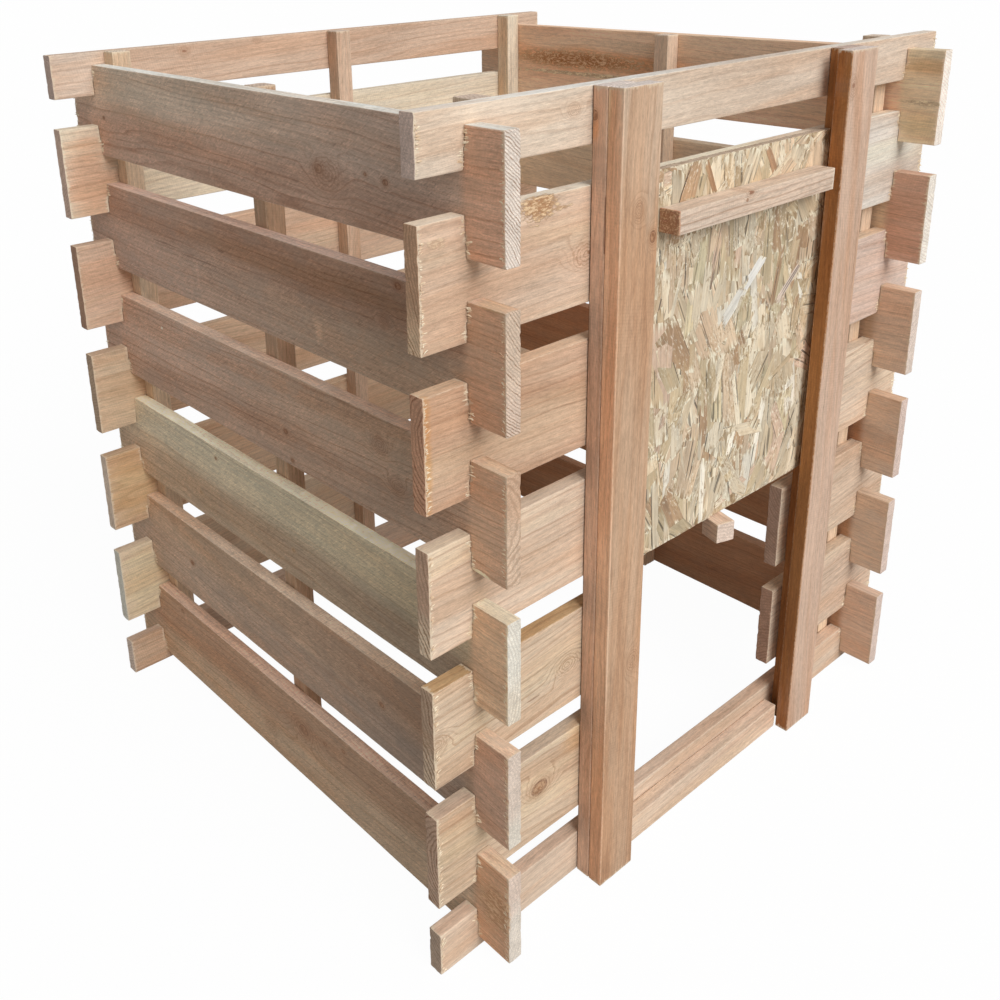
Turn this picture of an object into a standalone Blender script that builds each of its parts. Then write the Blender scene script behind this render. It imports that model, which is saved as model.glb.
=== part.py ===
"""Wooden compost bin: notched sawn boards crossed at the corners, with a sliding hatch.

Units are metres, +Z is up. The front wall, with the hatch, faces -Y.
The origin lies on the ground under the middle of the bin.
Courses are counted from the top, so course 1 is the highest whole board of a wall.
"""
import math

import bmesh
import bpy
from mathutils import Matrix, Vector

# Sawn stock
board_thickness = 0.022
board_height = 0.140
half_board_height = 0.066
batten_width = 0.030
edge_ease = 0.0012

# Walls, measured between the outer faces of the boards
bin_width = 0.920
bin_depth = 0.872
side_courses = 6
course_gap = 0.0455
front_board_overhang = 0.065
side_board_overhang = 0.059

# Fits
seat_gap = 0.0003
notch_side_clearance = 0.0006
sliding_clearance = 0.0006

# Inner battens
front_corner_standoff = 0.010
left_batten_shift = -0.005

# Hatch guides: each post is a narrow spacer with a wider cover board on it
doorway_width = 0.400
cover_width = 0.068
groove_depth = 0.020
right_spacer_outset = 0.003
stub_reveal = 0.005
threshold_height = 0.042
threshold_end_gap = 0.002

# Hatch, drawn in its raised place
panel_thickness = 0.012
panel_height = 0.522
panel_side_play = 0.002
hatch_raised_height = 0.474
handle_length = 0.344
handle_shift = 0.014
handle_drop = 0.046
foot_block_length = 0.034
foot_block_turn = math.radians(16.0)
foot_block_shift = -0.004

# Screws
screw_head_radius = 0.0042
screw_head_rim = 0.0006
screw_shank_radius = 0.0022
screw_tip_length = 0.007
screw_sides = 12
screw_sink = 0.0002
post_screw_length = 0.060
post_screw_inset = 0.012
threshold_screw_length = 0.038
threshold_screw_inset = 0.056
threshold_screw_height = 0.027
handle_screw_length = 0.034
handle_screw_inset = 0.052

# Cutters run this far past what they cut
cutter_overrun = 0.005

# Sizes that follow from the driving ones
half_width = bin_width / 2
half_depth = bin_depth / 2
course_pitch = board_height + course_gap
corner_lap = board_height - course_pitch / 2
notch_depth = (corner_lap + seat_gap) / 2
side_wall_bottom = half_board_height - corner_lap
side_wall_top = side_wall_bottom + (side_courses - 1) * course_pitch + board_height
bin_height = side_wall_top - corner_lap + half_board_height
front_courses = side_courses - 1
doorway_half = doorway_width / 2
side_wall_line = half_width - board_thickness / 2
front_wall_line = half_depth - board_thickness / 2
inner_half_width = half_width - board_thickness
inner_half_depth = half_depth - board_thickness

# Layers in front of the front wall, as distances from the middle of the bin
spacer_back = half_depth + seat_gap
spacer_front = spacer_back + board_thickness
cover_back = spacer_front + seat_gap
cover_front = cover_back + board_thickness
panel_back = half_depth + sliding_clearance
panel_front = panel_back + panel_thickness

PART_NAME = "wooden_compost_bin"


def clear_scene():
    """Remove every object that the file holds."""
    for thing in list(bpy.data.objects):
        bpy.data.objects.remove(thing, do_unlink=True)


def new_collection(name):
    """Make a collection in the scene and return it."""
    collection = bpy.data.collections.new(name)
    bpy.context.scene.collection.children.link(collection)
    return collection


def wood(name, colour, roughness=0.75, metallic=0.0):
    """Return a plain material of one colour."""
    material = bpy.data.materials.new(name)
    material.use_nodes = True
    shader = material.node_tree.nodes["Principled BSDF"]
    shader.inputs["Base Color"].default_value = (*colour, 1.0)
    shader.inputs["Roughness"].default_value = roughness
    shader.inputs["Metallic"].default_value = metallic
    return material


def add_box(mesh_data, low, high, origin):
    """Add one box to a bmesh, with its corners given in world space."""
    size = Vector(high) - Vector(low)
    middle = (Vector(high) + Vector(low)) / 2 - Vector(origin)
    place = Matrix.Translation(middle) @ Matrix.Diagonal((*size, 1.0))
    bmesh.ops.create_cube(mesh_data, size=1.0, matrix=place)


def object_from(mesh_data, name, collection, location):
    """Turn a bmesh into an object at a place and return it."""
    mesh = bpy.data.meshes.new(name)
    mesh_data.to_mesh(mesh)
    mesh_data.free()
    thing = bpy.data.objects.new(name, mesh)
    collection.objects.link(thing)
    thing.location = location
    return thing


def timber(name, low, high, material):
    """A sawn piece with eased edges, between two world corners."""
    low = Vector(low)
    high = Vector(high)
    middle = (low + high) / 2
    mesh_data = bmesh.new()
    add_box(mesh_data, low, high, middle)
    piece = object_from(mesh_data, name, parts, middle)
    piece.data.materials.append(material)
    ease = piece.modifiers.new("eased_edges", "BEVEL")
    ease.width = edge_ease
    ease.segments = 1
    return piece


def cut(piece, cutter, label):
    """Subtract a cutter from a piece."""
    step = piece.modifiers.new(label, "BOOLEAN")
    step.operation = "DIFFERENCE"
    step.solver = "EXACT"
    step.object = cutter


def box_cutter(name, boxes):
    """A hidden cutter made of separate boxes, each a pair of world corners."""
    mesh_data = bmesh.new()
    for low, high in boxes:
        add_box(mesh_data, low, high, (0.0, 0.0, 0.0))
    cutter = object_from(mesh_data, name, cutters, (0.0, 0.0, 0.0))
    hide_cutter(cutter)
    return cutter


def hide_cutter(cutter):
    """Keep a cutter out of sight and out of the build."""
    cutter.hide_render = True
    cutter.display_type = "WIRE"


def notch_boxes(along_x, line, z_low, z_high, crossings, sides):
    """Boxes that cut the notches of one board.

    along_x tells whether the board runs along X, line is the middle of its
    thickness, crossings are the places along it where other boards pass, and
    sides names the edges, top or bottom, that are notched.
    """
    reach = board_thickness / 2 + cutter_overrun
    half_notch = board_thickness / 2 + notch_side_clearance
    spans = {
        "top": (z_high - notch_depth, z_high + cutter_overrun),
        "bottom": (z_low - cutter_overrun, z_low + notch_depth),
    }
    boxes = []
    for crossing in crossings:
        for side in sides:
            z_from, z_to = spans[side]
            first = (crossing - half_notch, crossing + half_notch)
            second = (line - reach, line + reach)
            if not along_x:
                first, second = second, first
            boxes.append(((first[0], second[0], z_from), (first[1], second[1], z_to)))
    return boxes


def notched_board(name, along_x, line, span, z_low, height, crossings, sides, material):
    """One wall board, notched where it crosses the boards of the next walls."""
    z_high = z_low + height
    half_board = board_thickness / 2
    if along_x:
        low = (span[0], line - half_board, z_low)
        high = (span[1], line + half_board, z_high)
    else:
        low = (line - half_board, span[0], z_low)
        high = (line + half_board, span[1], z_high)
    board = timber(name, low, high, material)
    boxes = notch_boxes(along_x, line, z_low, z_high, crossings, sides)
    cut(board, box_cutter(name + "_notches", boxes), "notches")
    return board


def screw_profile(length, spare):
    """Half outline of a countersunk screw, from its head down to its tip.

    spare widens it into the outline of its hole, which is open at the head.
    """
    head = screw_head_radius + spare
    shank = screw_shank_radius + spare
    taper = screw_head_radius - screw_shank_radius
    top = cutter_overrun if spare else 0.0
    return [
        (0.0, top),
        (head, top),
        (head, -screw_head_rim),
        (shank, -screw_head_rim - taper),
        (shank, -length + screw_tip_length),
        (0.0, -length - spare),
    ]


def turned(name, outline, collection):
    """A turned solid from a half outline, with the Screw modifier about Z."""
    mesh = bpy.data.meshes.new(name)
    points = [(radius, 0.0, height) for radius, height in outline]
    edges = [(index, index + 1) for index in range(len(points) - 1)]
    mesh.from_pydata(points, edges, [])
    thing = bpy.data.objects.new(name, mesh)
    collection.objects.link(thing)
    spin = thing.modifiers.new("turn", "SCREW")
    spin.steps = screw_sides
    spin.render_steps = screw_sides
    spin.use_merge_vertices = True
    spin.merge_threshold = 0.00001
    return thing


def screw(name, place, faces_front, length, through):
    """A countersunk screw at a world place, with its hole in the pieces it holds."""
    turn = math.radians(90.0 if faces_front else -90.0)
    holes = turned(name + "_hole", screw_profile(length, seat_gap), cutters)
    hide_cutter(holes)
    body = turned(name, screw_profile(length, 0.0), parts)
    body.data.materials.append(steel)
    inward = 1.0 if faces_front else -1.0
    sunk = Vector(place) + Vector((0.0, inward * screw_sink, 0.0))
    for thing in (holes, body):
        thing.location = sunk
        thing.rotation_euler = (turn, 0.0, 0.0)
    for piece in through:
        cut(piece, holes, name + "_hole")
    return body


def side_low(course):
    """Lower edge of a side wall's board, counted from the top."""
    return side_wall_bottom + (side_courses - course) * course_pitch


def end_low(course):
    """Lower edge of a whole board in the front or back wall."""
    return side_low(course) - course_pitch / 2


def build_side_walls():
    """Six whole boards in each side wall."""
    reach = half_depth + side_board_overhang
    crossings = (-front_wall_line, front_wall_line)
    for side, name in ((-1, "left"), (1, "right")):
        for course in range(1, side_courses + 1):
            shade = warm if (course + side) % 2 else pale
            notched_board(
                f"{name}_board_{course}", False, side * side_wall_line, (-reach, reach),
                side_low(course), board_height, crossings, ("top", "bottom"), shade,
            )


def build_back_wall():
    """Half boards at the top and bottom, whole boards between them."""
    reach = half_width + front_board_overhang
    crossings = (-side_wall_line, side_wall_line)
    span = (-reach, reach)
    line = front_wall_line
    top_low = bin_height - half_board_height
    notched_board("back_board_top", True, line, span, top_low, half_board_height,
                  crossings, ("bottom",), warm)
    notched_board("back_board_bottom", True, line, span, 0.0, half_board_height,
                  crossings, ("top",), warm)
    for course in range(1, front_courses + 1):
        notched_board(f"back_board_{course}", True, line, span, end_low(course),
                      board_height, crossings, ("top", "bottom"), pale)


def build_front_wall():
    """The front wall, with the boards at the doorway cut into stubs.

    A board is cut where it stands lower than the raised hatch.
    """
    reach = half_width + front_board_overhang
    line = -front_wall_line
    edges = ("top", "bottom")
    top_low = bin_height - half_board_height
    both = (-side_wall_line, side_wall_line)
    walls = {}
    walls["top"] = [notched_board("front_board_top", True, line, (-reach, reach), top_low,
                                  half_board_height, both, ("bottom",), warm)]
    walls["bottom"] = [notched_board("front_board_bottom", True, line, (-reach, reach), 0.0,
                                     half_board_height, both, ("top",), warm)]
    stub_end = doorway_half - stub_reveal
    for course in range(1, front_courses + 1):
        low = end_low(course)
        if low + board_height / 2 > hatch_raised_height:
            walls[course] = [notched_board(f"front_board_{course}", True, line, (-reach, reach),
                                           low, board_height, both, edges, pale)]
            continue
        left = notched_board(f"front_stub_left_{course}", True, line, (-reach, -stub_end), low,
                             board_height, both[:1], edges, pale)
        right = notched_board(f"front_stub_right_{course}", True, line, (stub_end, reach), low,
                              board_height, both[1:], edges, pale)
        walls[course] = [left, right]
    return walls


def build_inner_battens():
    """Upright battens inside the walls: one in each corner and one mid-wall."""
    along_wall = inner_half_depth - seat_gap
    for front_back, name in ((-1, "front"), (1, "back")):
        standoff = front_corner_standoff if name == "front" else seat_gap
        far = inner_half_width - standoff
        for side, side_name in ((-1, "left"), (1, "right")):
            xs = sorted((side * far, side * (far - batten_width)))
            ys = sorted((front_back * along_wall, front_back * (along_wall - batten_width)))
            timber(f"corner_batten_{name}_{side_name}", (xs[0], ys[0], 0.0),
                   (xs[1], ys[1], bin_height), pale)
    near_side = inner_half_width - seat_gap
    half_batten = batten_width / 2
    for side, side_name, shift in ((-1, "left", left_batten_shift), (1, "right", 0.0)):
        xs = sorted((side * near_side, side * (near_side - batten_width)))
        timber(f"mid_batten_{side_name}", (xs[0], shift - half_batten, side_wall_bottom),
               (xs[1], shift + half_batten, side_wall_top), warm)
    timber("mid_batten_back", (-half_batten, along_wall - batten_width, 0.0),
           (half_batten, along_wall, bin_height), warm)


def build_guides(walls):
    """The two posts that the hatch slides in, screwed to the front wall."""
    outer = doorway_half + cover_width
    for side, name, outset in ((-1, "left", 0.0), (1, "right", right_spacer_outset)):
        xs = sorted((side * (doorway_half + groove_depth), side * (outer + outset)))
        spacer = timber(f"guide_spacer_{name}", (xs[0], -spacer_front, 0.0),
                        (xs[1], -spacer_back, bin_height), warm)
        xs = sorted((side * doorway_half, side * outer))
        cover = timber(f"guide_cover_{name}", (xs[0], -cover_front, 0.0),
                       (xs[1], -cover_back, bin_height), warm)
        screw_line = side * (doorway_half + groove_depth + post_screw_inset)
        half_low = half_board_height / 2
        heights = {"top": bin_height - half_low, "bottom": half_low}
        for course in range(1, front_courses + 1):
            heights[course] = end_low(course) + board_height / 2
        for course in ("top", 1, 3, 4, 5, "bottom"):
            boards = walls[course]
            board = boards[0] if side < 0 else boards[-1]
            screw(f"post_screw_{name}_{course}", (screw_line, -cover_front, heights[course]),
                  True, post_screw_length, (cover, spacer, board))


def build_threshold(walls):
    """The strip that the lowered hatch stands on."""
    half_strip = doorway_half - threshold_end_gap
    strip = timber("threshold_strip", (-half_strip, -spacer_front, 0.0),
                   (half_strip, -spacer_back, threshold_height), warm)
    for side, name in ((-1, "left"), (1, "right")):
        place = (side * (half_strip - threshold_screw_inset), -spacer_front, threshold_screw_height)
        screw(f"threshold_screw_{name}", place, True, threshold_screw_length,
              (strip, walls["bottom"][0]))


def build_hatch():
    """The sliding panel with its handle and foot block, on an empty of its own."""
    slide = bpy.data.objects.new("hatch_slide", None)
    parts.objects.link(slide)
    slide.location = (0.0, -(panel_back + panel_front) / 2, hatch_raised_height)

    half_panel = doorway_half + groove_depth - panel_side_play
    panel_top = hatch_raised_height + panel_height
    panel = timber("hatch_panel", (-half_panel, -panel_front, hatch_raised_height),
                   (half_panel, -panel_back, panel_top), strand_board)

    handle_top = panel_top - handle_drop
    handle_back = panel_front + seat_gap
    handle_left = handle_shift - handle_length / 2
    handle_right = handle_shift + handle_length / 2
    handle = timber("hatch_handle",
                    (handle_left, -handle_back - batten_width, handle_top - batten_width),
                    (handle_right, -handle_back, handle_top), warm)

    fixings = []
    screw_lines = {"left": handle_left + handle_screw_inset,
                   "right": handle_right - handle_screw_inset}
    for name, across in screw_lines.items():
        place = (across, -panel_back, handle_top - batten_width / 2)
        fixings.append(screw(f"handle_screw_{name}", place, False, handle_screw_length,
                             (panel, handle)))

    rear_corner = panel_back + sliding_clearance
    half_block = batten_width / 2
    rear_line = rear_corner + half_block * math.sin(foot_block_turn)
    middle_line = rear_line + foot_block_length / 2 * math.cos(foot_block_turn)
    block_top = hatch_raised_height - seat_gap
    block = timber("hatch_foot_block",
                   (-half_block, -foot_block_length / 2, block_top - batten_width),
                   (half_block, foot_block_length / 2, block_top), pale)
    block.location = (foot_block_shift, -middle_line, block_top - half_block)
    block.rotation_euler = (0.0, 0.0, -foot_block_turn)

    for piece in [panel, handle, block] + fixings:
        piece.parent = slide
        piece.location = piece.location - slide.location


clear_scene()
parts = new_collection(PART_NAME)
cutters = new_collection("cutters")
warm = wood("larch_red_heartwood", (0.56, 0.33, 0.20))
pale = wood("larch_pale_sapwood", (0.66, 0.45, 0.28))
strand_board = wood("oriented_strand_board", (0.72, 0.55, 0.32), 0.65)
steel = wood("zinc_plated_steel", (0.35, 0.33, 0.31), 0.45, 1.0)

build_side_walls()
build_back_wall()
front_walls = build_front_wall()
build_inner_battens()
build_guides(front_walls)
build_threshold(front_walls)
build_hatch()
bpy.context.view_layer.update()
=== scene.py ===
"""Wooden compost bin: boards that cross at half-lapped corners, and a hatch that lifts between two posts."""

import logging
import math
import zlib
from dataclasses import dataclass, field, replace
from enum import Enum

import bmesh
import bpy
import numpy as np
from mathutils import Matrix, Vector


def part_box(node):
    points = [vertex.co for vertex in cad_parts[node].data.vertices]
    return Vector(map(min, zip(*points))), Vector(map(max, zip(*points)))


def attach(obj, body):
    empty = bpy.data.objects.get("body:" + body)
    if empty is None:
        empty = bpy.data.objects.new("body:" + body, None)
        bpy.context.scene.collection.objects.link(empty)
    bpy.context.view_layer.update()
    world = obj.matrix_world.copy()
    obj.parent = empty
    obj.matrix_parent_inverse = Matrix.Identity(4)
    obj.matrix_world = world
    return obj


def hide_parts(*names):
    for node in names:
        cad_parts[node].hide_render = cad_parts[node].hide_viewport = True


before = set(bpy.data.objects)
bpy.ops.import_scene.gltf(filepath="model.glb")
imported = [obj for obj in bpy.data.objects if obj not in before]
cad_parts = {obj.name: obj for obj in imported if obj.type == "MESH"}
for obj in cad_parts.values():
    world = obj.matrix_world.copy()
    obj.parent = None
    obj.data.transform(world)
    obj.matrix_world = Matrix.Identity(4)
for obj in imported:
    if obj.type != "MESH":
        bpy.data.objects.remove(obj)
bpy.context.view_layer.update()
log = logging.getLogger("compost_bin")

Colour = tuple[float, float, float]
Place = tuple[float, float, float]
Socket = bpy.types.NodeSocket
MM = 0.001
WHITE: Colour = (1.0, 1.0, 1.0)
SEAT_GAP = 0.3 * MM
NOTCH_SIDE_CLEARANCE = 0.6 * MM


class Axis(Enum):
    """A world axis, as its place in a coordinate."""

    X = 0
    Y = 1
    Z = 2

    def along(self, amount: float = 1.0) -> Place:
        """A vector of this length along the axis."""
        return tuple(amount if number == self.value else 0.0 for number in range(3))


class Slot(Enum):
    """The record's material slots."""

    HEARTWOOD = "heartwood"
    SAPWOOD = "sapwood"
    STRAND_BOARD = "oriented_strand_board"
    STEEL = "zinc_plated_steel"


class Body(Enum):
    """The CAD bodies that pieces ride on."""

    BIN = "bin"
    HATCH = "hatch"


class MarkKind(Enum):
    """What a mark on the wood is: a dab covers the wood with a colour, and a tinge multiplies it; some tinges
    paint light and shade.
    """

    KNOT = "knot"
    SWIRL = "swirl"
    TORN = "torn"
    DAB = "dab"
    TINGE = "tinge"


@dataclass(frozen=True)
class Mark:
    """One knot, swirl, tear, dab or tinge, as an ellipsoid in world metres."""

    kind: MarkKind
    centre: Place
    reach: Place
    tint: Colour = (0.16, 0.075, 0.04)
    strength: float = 0.85


@dataclass(frozen=True)
class Timber:
    """How one sawn piece looks: its colour, its growth rings and what the saw and the weather left.

    Four tints multiply the tone: on the cut ends, on the narrow faces, in front of the front wall, and in the
    four shades, from corner to corner of a broad face: low near, low far, high near, high far. The tint on
    the narrow faces is painted light on the top edges, and painted shade where it is below one; the tint in
    front of the front wall is painted light there, and painted shade where it is below one; the four shades
    are partly the wood's own tone and partly painted light and shade. Near is the lower end of the axis that
    the piece runs along. On a cut end, end_low is the tint and end_lines the depth of the rings low and high,
    and end_shift moves the pith.
    """

    tone: Colour
    line_depth: float = 0.22
    ring_pitch: float = 3.6 * MM
    pith: tuple[float, float] = (0.010, -0.055)
    tilt: float = 0.02
    wander: float = 1.0
    sap_from: float = 9.0
    sap: Colour = (0.80, 0.66, 0.45)
    warmth: float = 0.30
    cream: float = 0.0
    mottle: float = 0.20
    grit: float = 0.45
    flecks: float = 0.0
    weather: float = 0.0
    saw: float = 0.35
    scratch: float = 0.0
    ragged: float = 0.75
    end_paleness: float = 0.30
    end_lines: tuple[float, float] = (0.5, 0.4)
    end_pitch: float = 5.0 * MM
    end_shift: tuple[float, float] = (0.0, 0.0)
    end_tint: Colour = WHITE
    end_low: Colour | None = None
    # painted light on the narrow faces, the top edges most; below one it is painted shade
    edge_tint: Colour = WHITE
    # painted light on the part in front of the front wall, out of the bin's shade
    front_tint: Colour | None = None
    # partly the wood's own tone, partly painted light and shade, from corner to corner
    shades: tuple[Colour, Colour, Colour, Colour] | None = None
    bump: float = 0.65
    marks: tuple[Mark, ...] = ()


@dataclass(frozen=True)
class Wear:
    """How far a piece departs from a clean block. Every amount takes wood away."""

    arris: float = 1.5 * MM
    cut_arris: float = 0.35 * MM
    face_sway: float = 0.35 * MM
    edge_sway: float = 0.55 * MM
    end_rag: float = 0.9 * MM
    chip: float = 1.6 * MM


@dataclass(frozen=True)
class Lay:
    """The world axes that a piece's length, width and thickness run along."""

    length: Axis
    width: Axis
    thickness: Axis

    @property
    def turns_right(self) -> bool:
        """True if length, width and thickness form a right-handed frame."""
        order = (self.length.value, self.width.value, self.thickness.value)
        return order in ((0, 1, 2), (1, 2, 0), (2, 0, 1))


@dataclass(frozen=True)
class Notch:
    """A rectangular cut into one long edge."""

    start: float
    end: float
    floor: float
    from_top: bool


KNOT, SWIRL, TORN, DAB, TINGE = MarkKind
SIDE_LAY = Lay(Axis.Y, Axis.Z, Axis.X)
END_LAY = Lay(Axis.X, Axis.Z, Axis.Y)
UPRIGHT_LAY = Lay(Axis.Z, Axis.X, Axis.Y)
SPACER_LAY = Lay(Axis.Z, Axis.Y, Axis.X)


def seed_of(name: str) -> int:
    """A repeatable number for a piece's name."""
    return zlib.crc32(name.encode())


def faded(colour: Colour, fade: Colour) -> Colour:
    """A colour times another, channel by channel."""
    return tuple(share * part for share, part in zip(colour, fade))


class Swell:
    """Smooth unevenness over two lengths: seeded sine waves added up, between -1 and 1.

    Value = sum of share * sin(2 pi (a cos h + b sin h) / wavelength + phase) / sum of shares, where h is a
    random heading and each octave halves the wavelength and fades the share.
    """

    def __init__(self, seed: int, wavelength: float, octaves: int = 3, fade: float = 0.6) -> None:
        """Draws the waves.

        Args:
            seed: number that fixes the pattern.
            wavelength: longest wave, in the unit of the coordinates.
            octaves: how many times the wavelength is halved.
            fade: share of each octave beside the one before.
        """
        random = np.random.default_rng(seed)
        waves = octaves * 3
        octave = np.repeat(np.arange(octaves), 3)
        heading = random.uniform(0, 2 * math.pi, waves)
        rate = 2 * math.pi / (wavelength / 2.0 ** octave * random.uniform(0.8, 1.25, waves))
        self.rates = np.stack([rate * np.cos(heading), rate * np.sin(heading)])
        self.phases = random.uniform(0, 2 * math.pi, waves)
        self.shares = fade ** octave / np.sum(fade ** octave)

    def __call__(self, a: np.ndarray, b: np.ndarray) -> np.ndarray:
        """The unevenness at points (a, b)."""
        turns = a[..., None] * self.rates[0] + b[..., None] * self.rates[1] + self.phases
        return np.sin(turns) @ self.shares


def step_up(values: np.ndarray, low: float, high: float) -> np.ndarray:
    """Smooth step from 0 at low to 1 at high: 3x^2 - 2x^3 of the clipped share."""
    share = np.clip((values - low) / (high - low), 0.0, 1.0)
    return share * share * (3 - 2 * share)


def mesh_object(name: str, points: np.ndarray, faces: list, smooth: bool = True) -> bpy.types.Object:
    """A mesh object at the origin, linked to the scene.

    Args:
        name: the piece's name.
        points: (n, 3) places in world metres.
        faces: index lists, anticlockwise seen from outside.
        smooth: whether its faces shade smoothly.

    Returns:
        The new object.
    """
    mesh = bpy.data.meshes.new(name)
    mesh.from_pydata(points.tolist(), [], faces)
    mesh.update()
    if smooth:
        mesh.shade_smooth()
    piece = bpy.data.objects.new(name, mesh)
    bpy.context.scene.collection.objects.link(piece)
    return piece


def add_attribute(piece: bpy.types.Object, name: str, values: np.ndarray) -> None:
    """Stores one number, vector or colour for each vertex.

    Args:
        piece: the mesh object.
        name: the attribute's name, as the material reads it.
        values: (n,), (n, 3) or (n, 4) array.
    """
    width = 1 if values.ndim == 1 else values.shape[1]
    kind, key = {1: ("FLOAT", "value"), 3: ("FLOAT_VECTOR", "vector"), 4: ("FLOAT_COLOR", "color")}[width]
    layer = piece.data.attributes.new(name, kind, "POINT")
    layer.data.foreach_set(key, values.astype(np.float32).ravel())


class SawnPiece:
    """A sawn length of wood as one closed surface: notched outline, worn arrises, torn cuts."""

    close_lines = (0.4 * MM, 1.0 * MM, 2.2 * MM, 4.5 * MM)
    thickness_lines = (0.5 * MM, 1.2 * MM, 2.6 * MM)

    def __init__(self, name: str, low: Vector, high: Vector, lay: Lay, wear: Wear,
                 notches: tuple[Notch, ...] = (), steps: tuple[float, float] = (10 * MM, 4.6 * MM)) -> None:
        """Keeps the block that the piece is cut from.

        Args:
            name: the piece's name, which also seeds its wear.
            low: lowest corner in metres.
            high: highest corner in metres.
            lay: which axes its length, width and thickness run along.
            wear: how it departs from a clean block.
            notches: cuts into its long edges.
            steps: spacing of the grid along and across.
        """
        self.name = name
        self.lay = lay
        self.wear = wear
        self.notches = notches
        self.steps = steps
        order = (lay.length.value, lay.width.value, lay.thickness.value)
        self.low = np.array([low[number] for number in order])
        self.high = np.array([high[number] for number in order])
        self.order = order
        self.seed = seed_of(name)

    def grid_lines(self, breaks: list[float], step: float, close: tuple[float, ...]) -> np.ndarray:
        """Grid lines that crowd beside each break and are even between them."""
        lines = [breaks[-1]]
        for start, end in zip(breaks[:-1], breaks[1:]):
            near = [gap for gap in close if gap < (end - start) * 0.42]
            first = near[-1] if near else 0.0
            count = max(1, round((end - start - 2 * first) / step))
            lines += [start] + [start + gap for gap in near[:-1]] + [end - gap for gap in near[:-1]]
            lines += list(np.linspace(start + first, end - first, count + 1))
        return np.unique(np.round(lines, 7))

    def surface(self) -> tuple[np.ndarray, np.ndarray]:
        """The block's grid points (s, w, t) and quads.

        The two broad faces are a grid of inside cells, and walls run through the thickness along
        every border between an inside and an outside cell, so all walls share their corners.
        """
        along = [self.low[0], self.high[0]] + [x for cut in self.notches for x in (cut.start, cut.end)]
        across = [self.low[1], self.high[1]] + [cut.floor for cut in self.notches]
        s_lines = self.grid_lines(sorted(set(along)), self.steps[0], self.close_lines)
        w_lines = self.grid_lines(sorted(set(across)), self.steps[1], self.close_lines)
        t_lines = self.grid_lines([self.low[2], self.high[2]], 6 * MM, self.thickness_lines)
        s_mid = (s_lines[:-1] + s_lines[1:])[:, None] / 2
        w_mid = (w_lines[:-1] + w_lines[1:])[None, :] / 2
        cells = np.ones((len(s_lines) - 1, len(w_lines) - 1), bool)
        for cut in self.notches:
            beyond = w_mid > cut.floor if cut.from_top else w_mid < cut.floor
            cells &= ~((s_mid > cut.start) & (s_mid < cut.end) & beyond)
        padded = np.pad(cells, 1)
        corners = [padded[:-1, :-1], padded[1:, :-1], padded[:-1, 1:], padded[1:, 1:]]
        used = np.logical_or.reduce(corners)
        rim = used & ~np.logical_and.reduce(corners)
        last = len(t_lines) - 1
        shown = np.repeat(rim[None], last + 1, axis=0)
        shown[0] = shown[last] = used
        numbers = np.full(shown.shape, -1)
        numbers[shown] = np.arange(shown.sum())
        level, row, column = np.nonzero(shown)
        grid = np.stack([s_lines[row], w_lines[column], t_lines[level]], axis=1)
        return grid, self.quads(padded, cells, numbers, last)

    def quads(self, padded: np.ndarray, cells: np.ndarray, numbers: np.ndarray, last: int) -> np.ndarray:
        """Four corners of every face, anticlockwise from outside in a right-handed (s, w, t) frame."""
        i, j = np.nonzero(cells)
        top = numbers[last]
        base = numbers[0]
        parts = [np.stack([top[i, j], top[i + 1, j], top[i + 1, j + 1], top[i, j + 1]], 1),
                 np.stack([base[i, j], base[i, j + 1], base[i + 1, j + 1], base[i + 1, j]], 1)]
        before, after = padded[:-1, 1:-1], padded[1:, 1:-1]
        parts += self.walls(numbers, before & ~after, (0, 1), last, False)
        parts += self.walls(numbers, after & ~before, (0, 1), last, True)
        below, above = padded[1:-1, :-1], padded[1:-1, 1:]
        parts += self.walls(numbers, below & ~above, (1, 0), last, True)
        parts += self.walls(numbers, above & ~below, (1, 0), last, False)
        faces = np.concatenate(parts)
        return faces if self.lay.turns_right else faces[:, ::-1]

    @staticmethod
    def walls(numbers: np.ndarray, edges: np.ndarray, step: tuple[int, int], last: int,
              turned: bool) -> list[np.ndarray]:
        """Quads through the thickness on the marked grid edges, each running by step (rows, columns)."""
        i, j = np.nonzero(edges)
        parts = []
        for level in range(last):
            near, far = numbers[level], numbers[level + 1]
            ends = (near[i, j], near[i + step[0], j + step[1]], far[i + step[0], j + step[1]], far[i, j])
            parts.append(np.stack(ends[::-1] if turned else ends, 1))
        return parts

    def cut_distance(self, grid: np.ndarray) -> np.ndarray:
        """Distance from each point to the nearest end or notch."""
        distance = np.minimum(grid[:, 0] - self.low[0], self.high[0] - grid[:, 0])
        for cut in self.notches:
            beside = np.maximum(np.maximum(cut.start - grid[:, 0], grid[:, 0] - cut.end), 0)
            short = cut.floor - grid[:, 1] if cut.from_top else grid[:, 1] - cut.floor
            distance = np.minimum(distance, np.hypot(beside, np.maximum(short, 0)))
        return distance

    def rounded(self, grid: np.ndarray) -> np.ndarray:
        """Points with the outer corners worn round.

        Each point's distances to the block's sides are taken in units of that side's radius. Where
        the point lies outside the ellipsoid that touches the three sides, it moves onto it.
        """
        wear = self.wear
        worn = 1.0 + 0.45 * Swell(self.seed + 1, 0.12, 4)(grid[:, 0], grid[:, 1] * 3 + grid[:, 2] * 7)
        radii = np.stack([np.full(len(grid), wear.cut_arris), wear.arris * worn, wear.arris * worn], 1)
        near_low = grid - self.low < self.high - grid
        distance = np.where(near_low, grid - self.low, self.high - grid)
        depth = np.maximum(0.0, 1.0 - distance / radii)
        length = np.linalg.norm(depth, axis=1, keepdims=True)
        pulled = radii * (1.0 - depth / np.maximum(length, 1.0))
        moved = np.where(depth > 0, np.maximum(pulled, distance), distance)
        return np.where(near_low, self.low + moved, self.high - moved)

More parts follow.
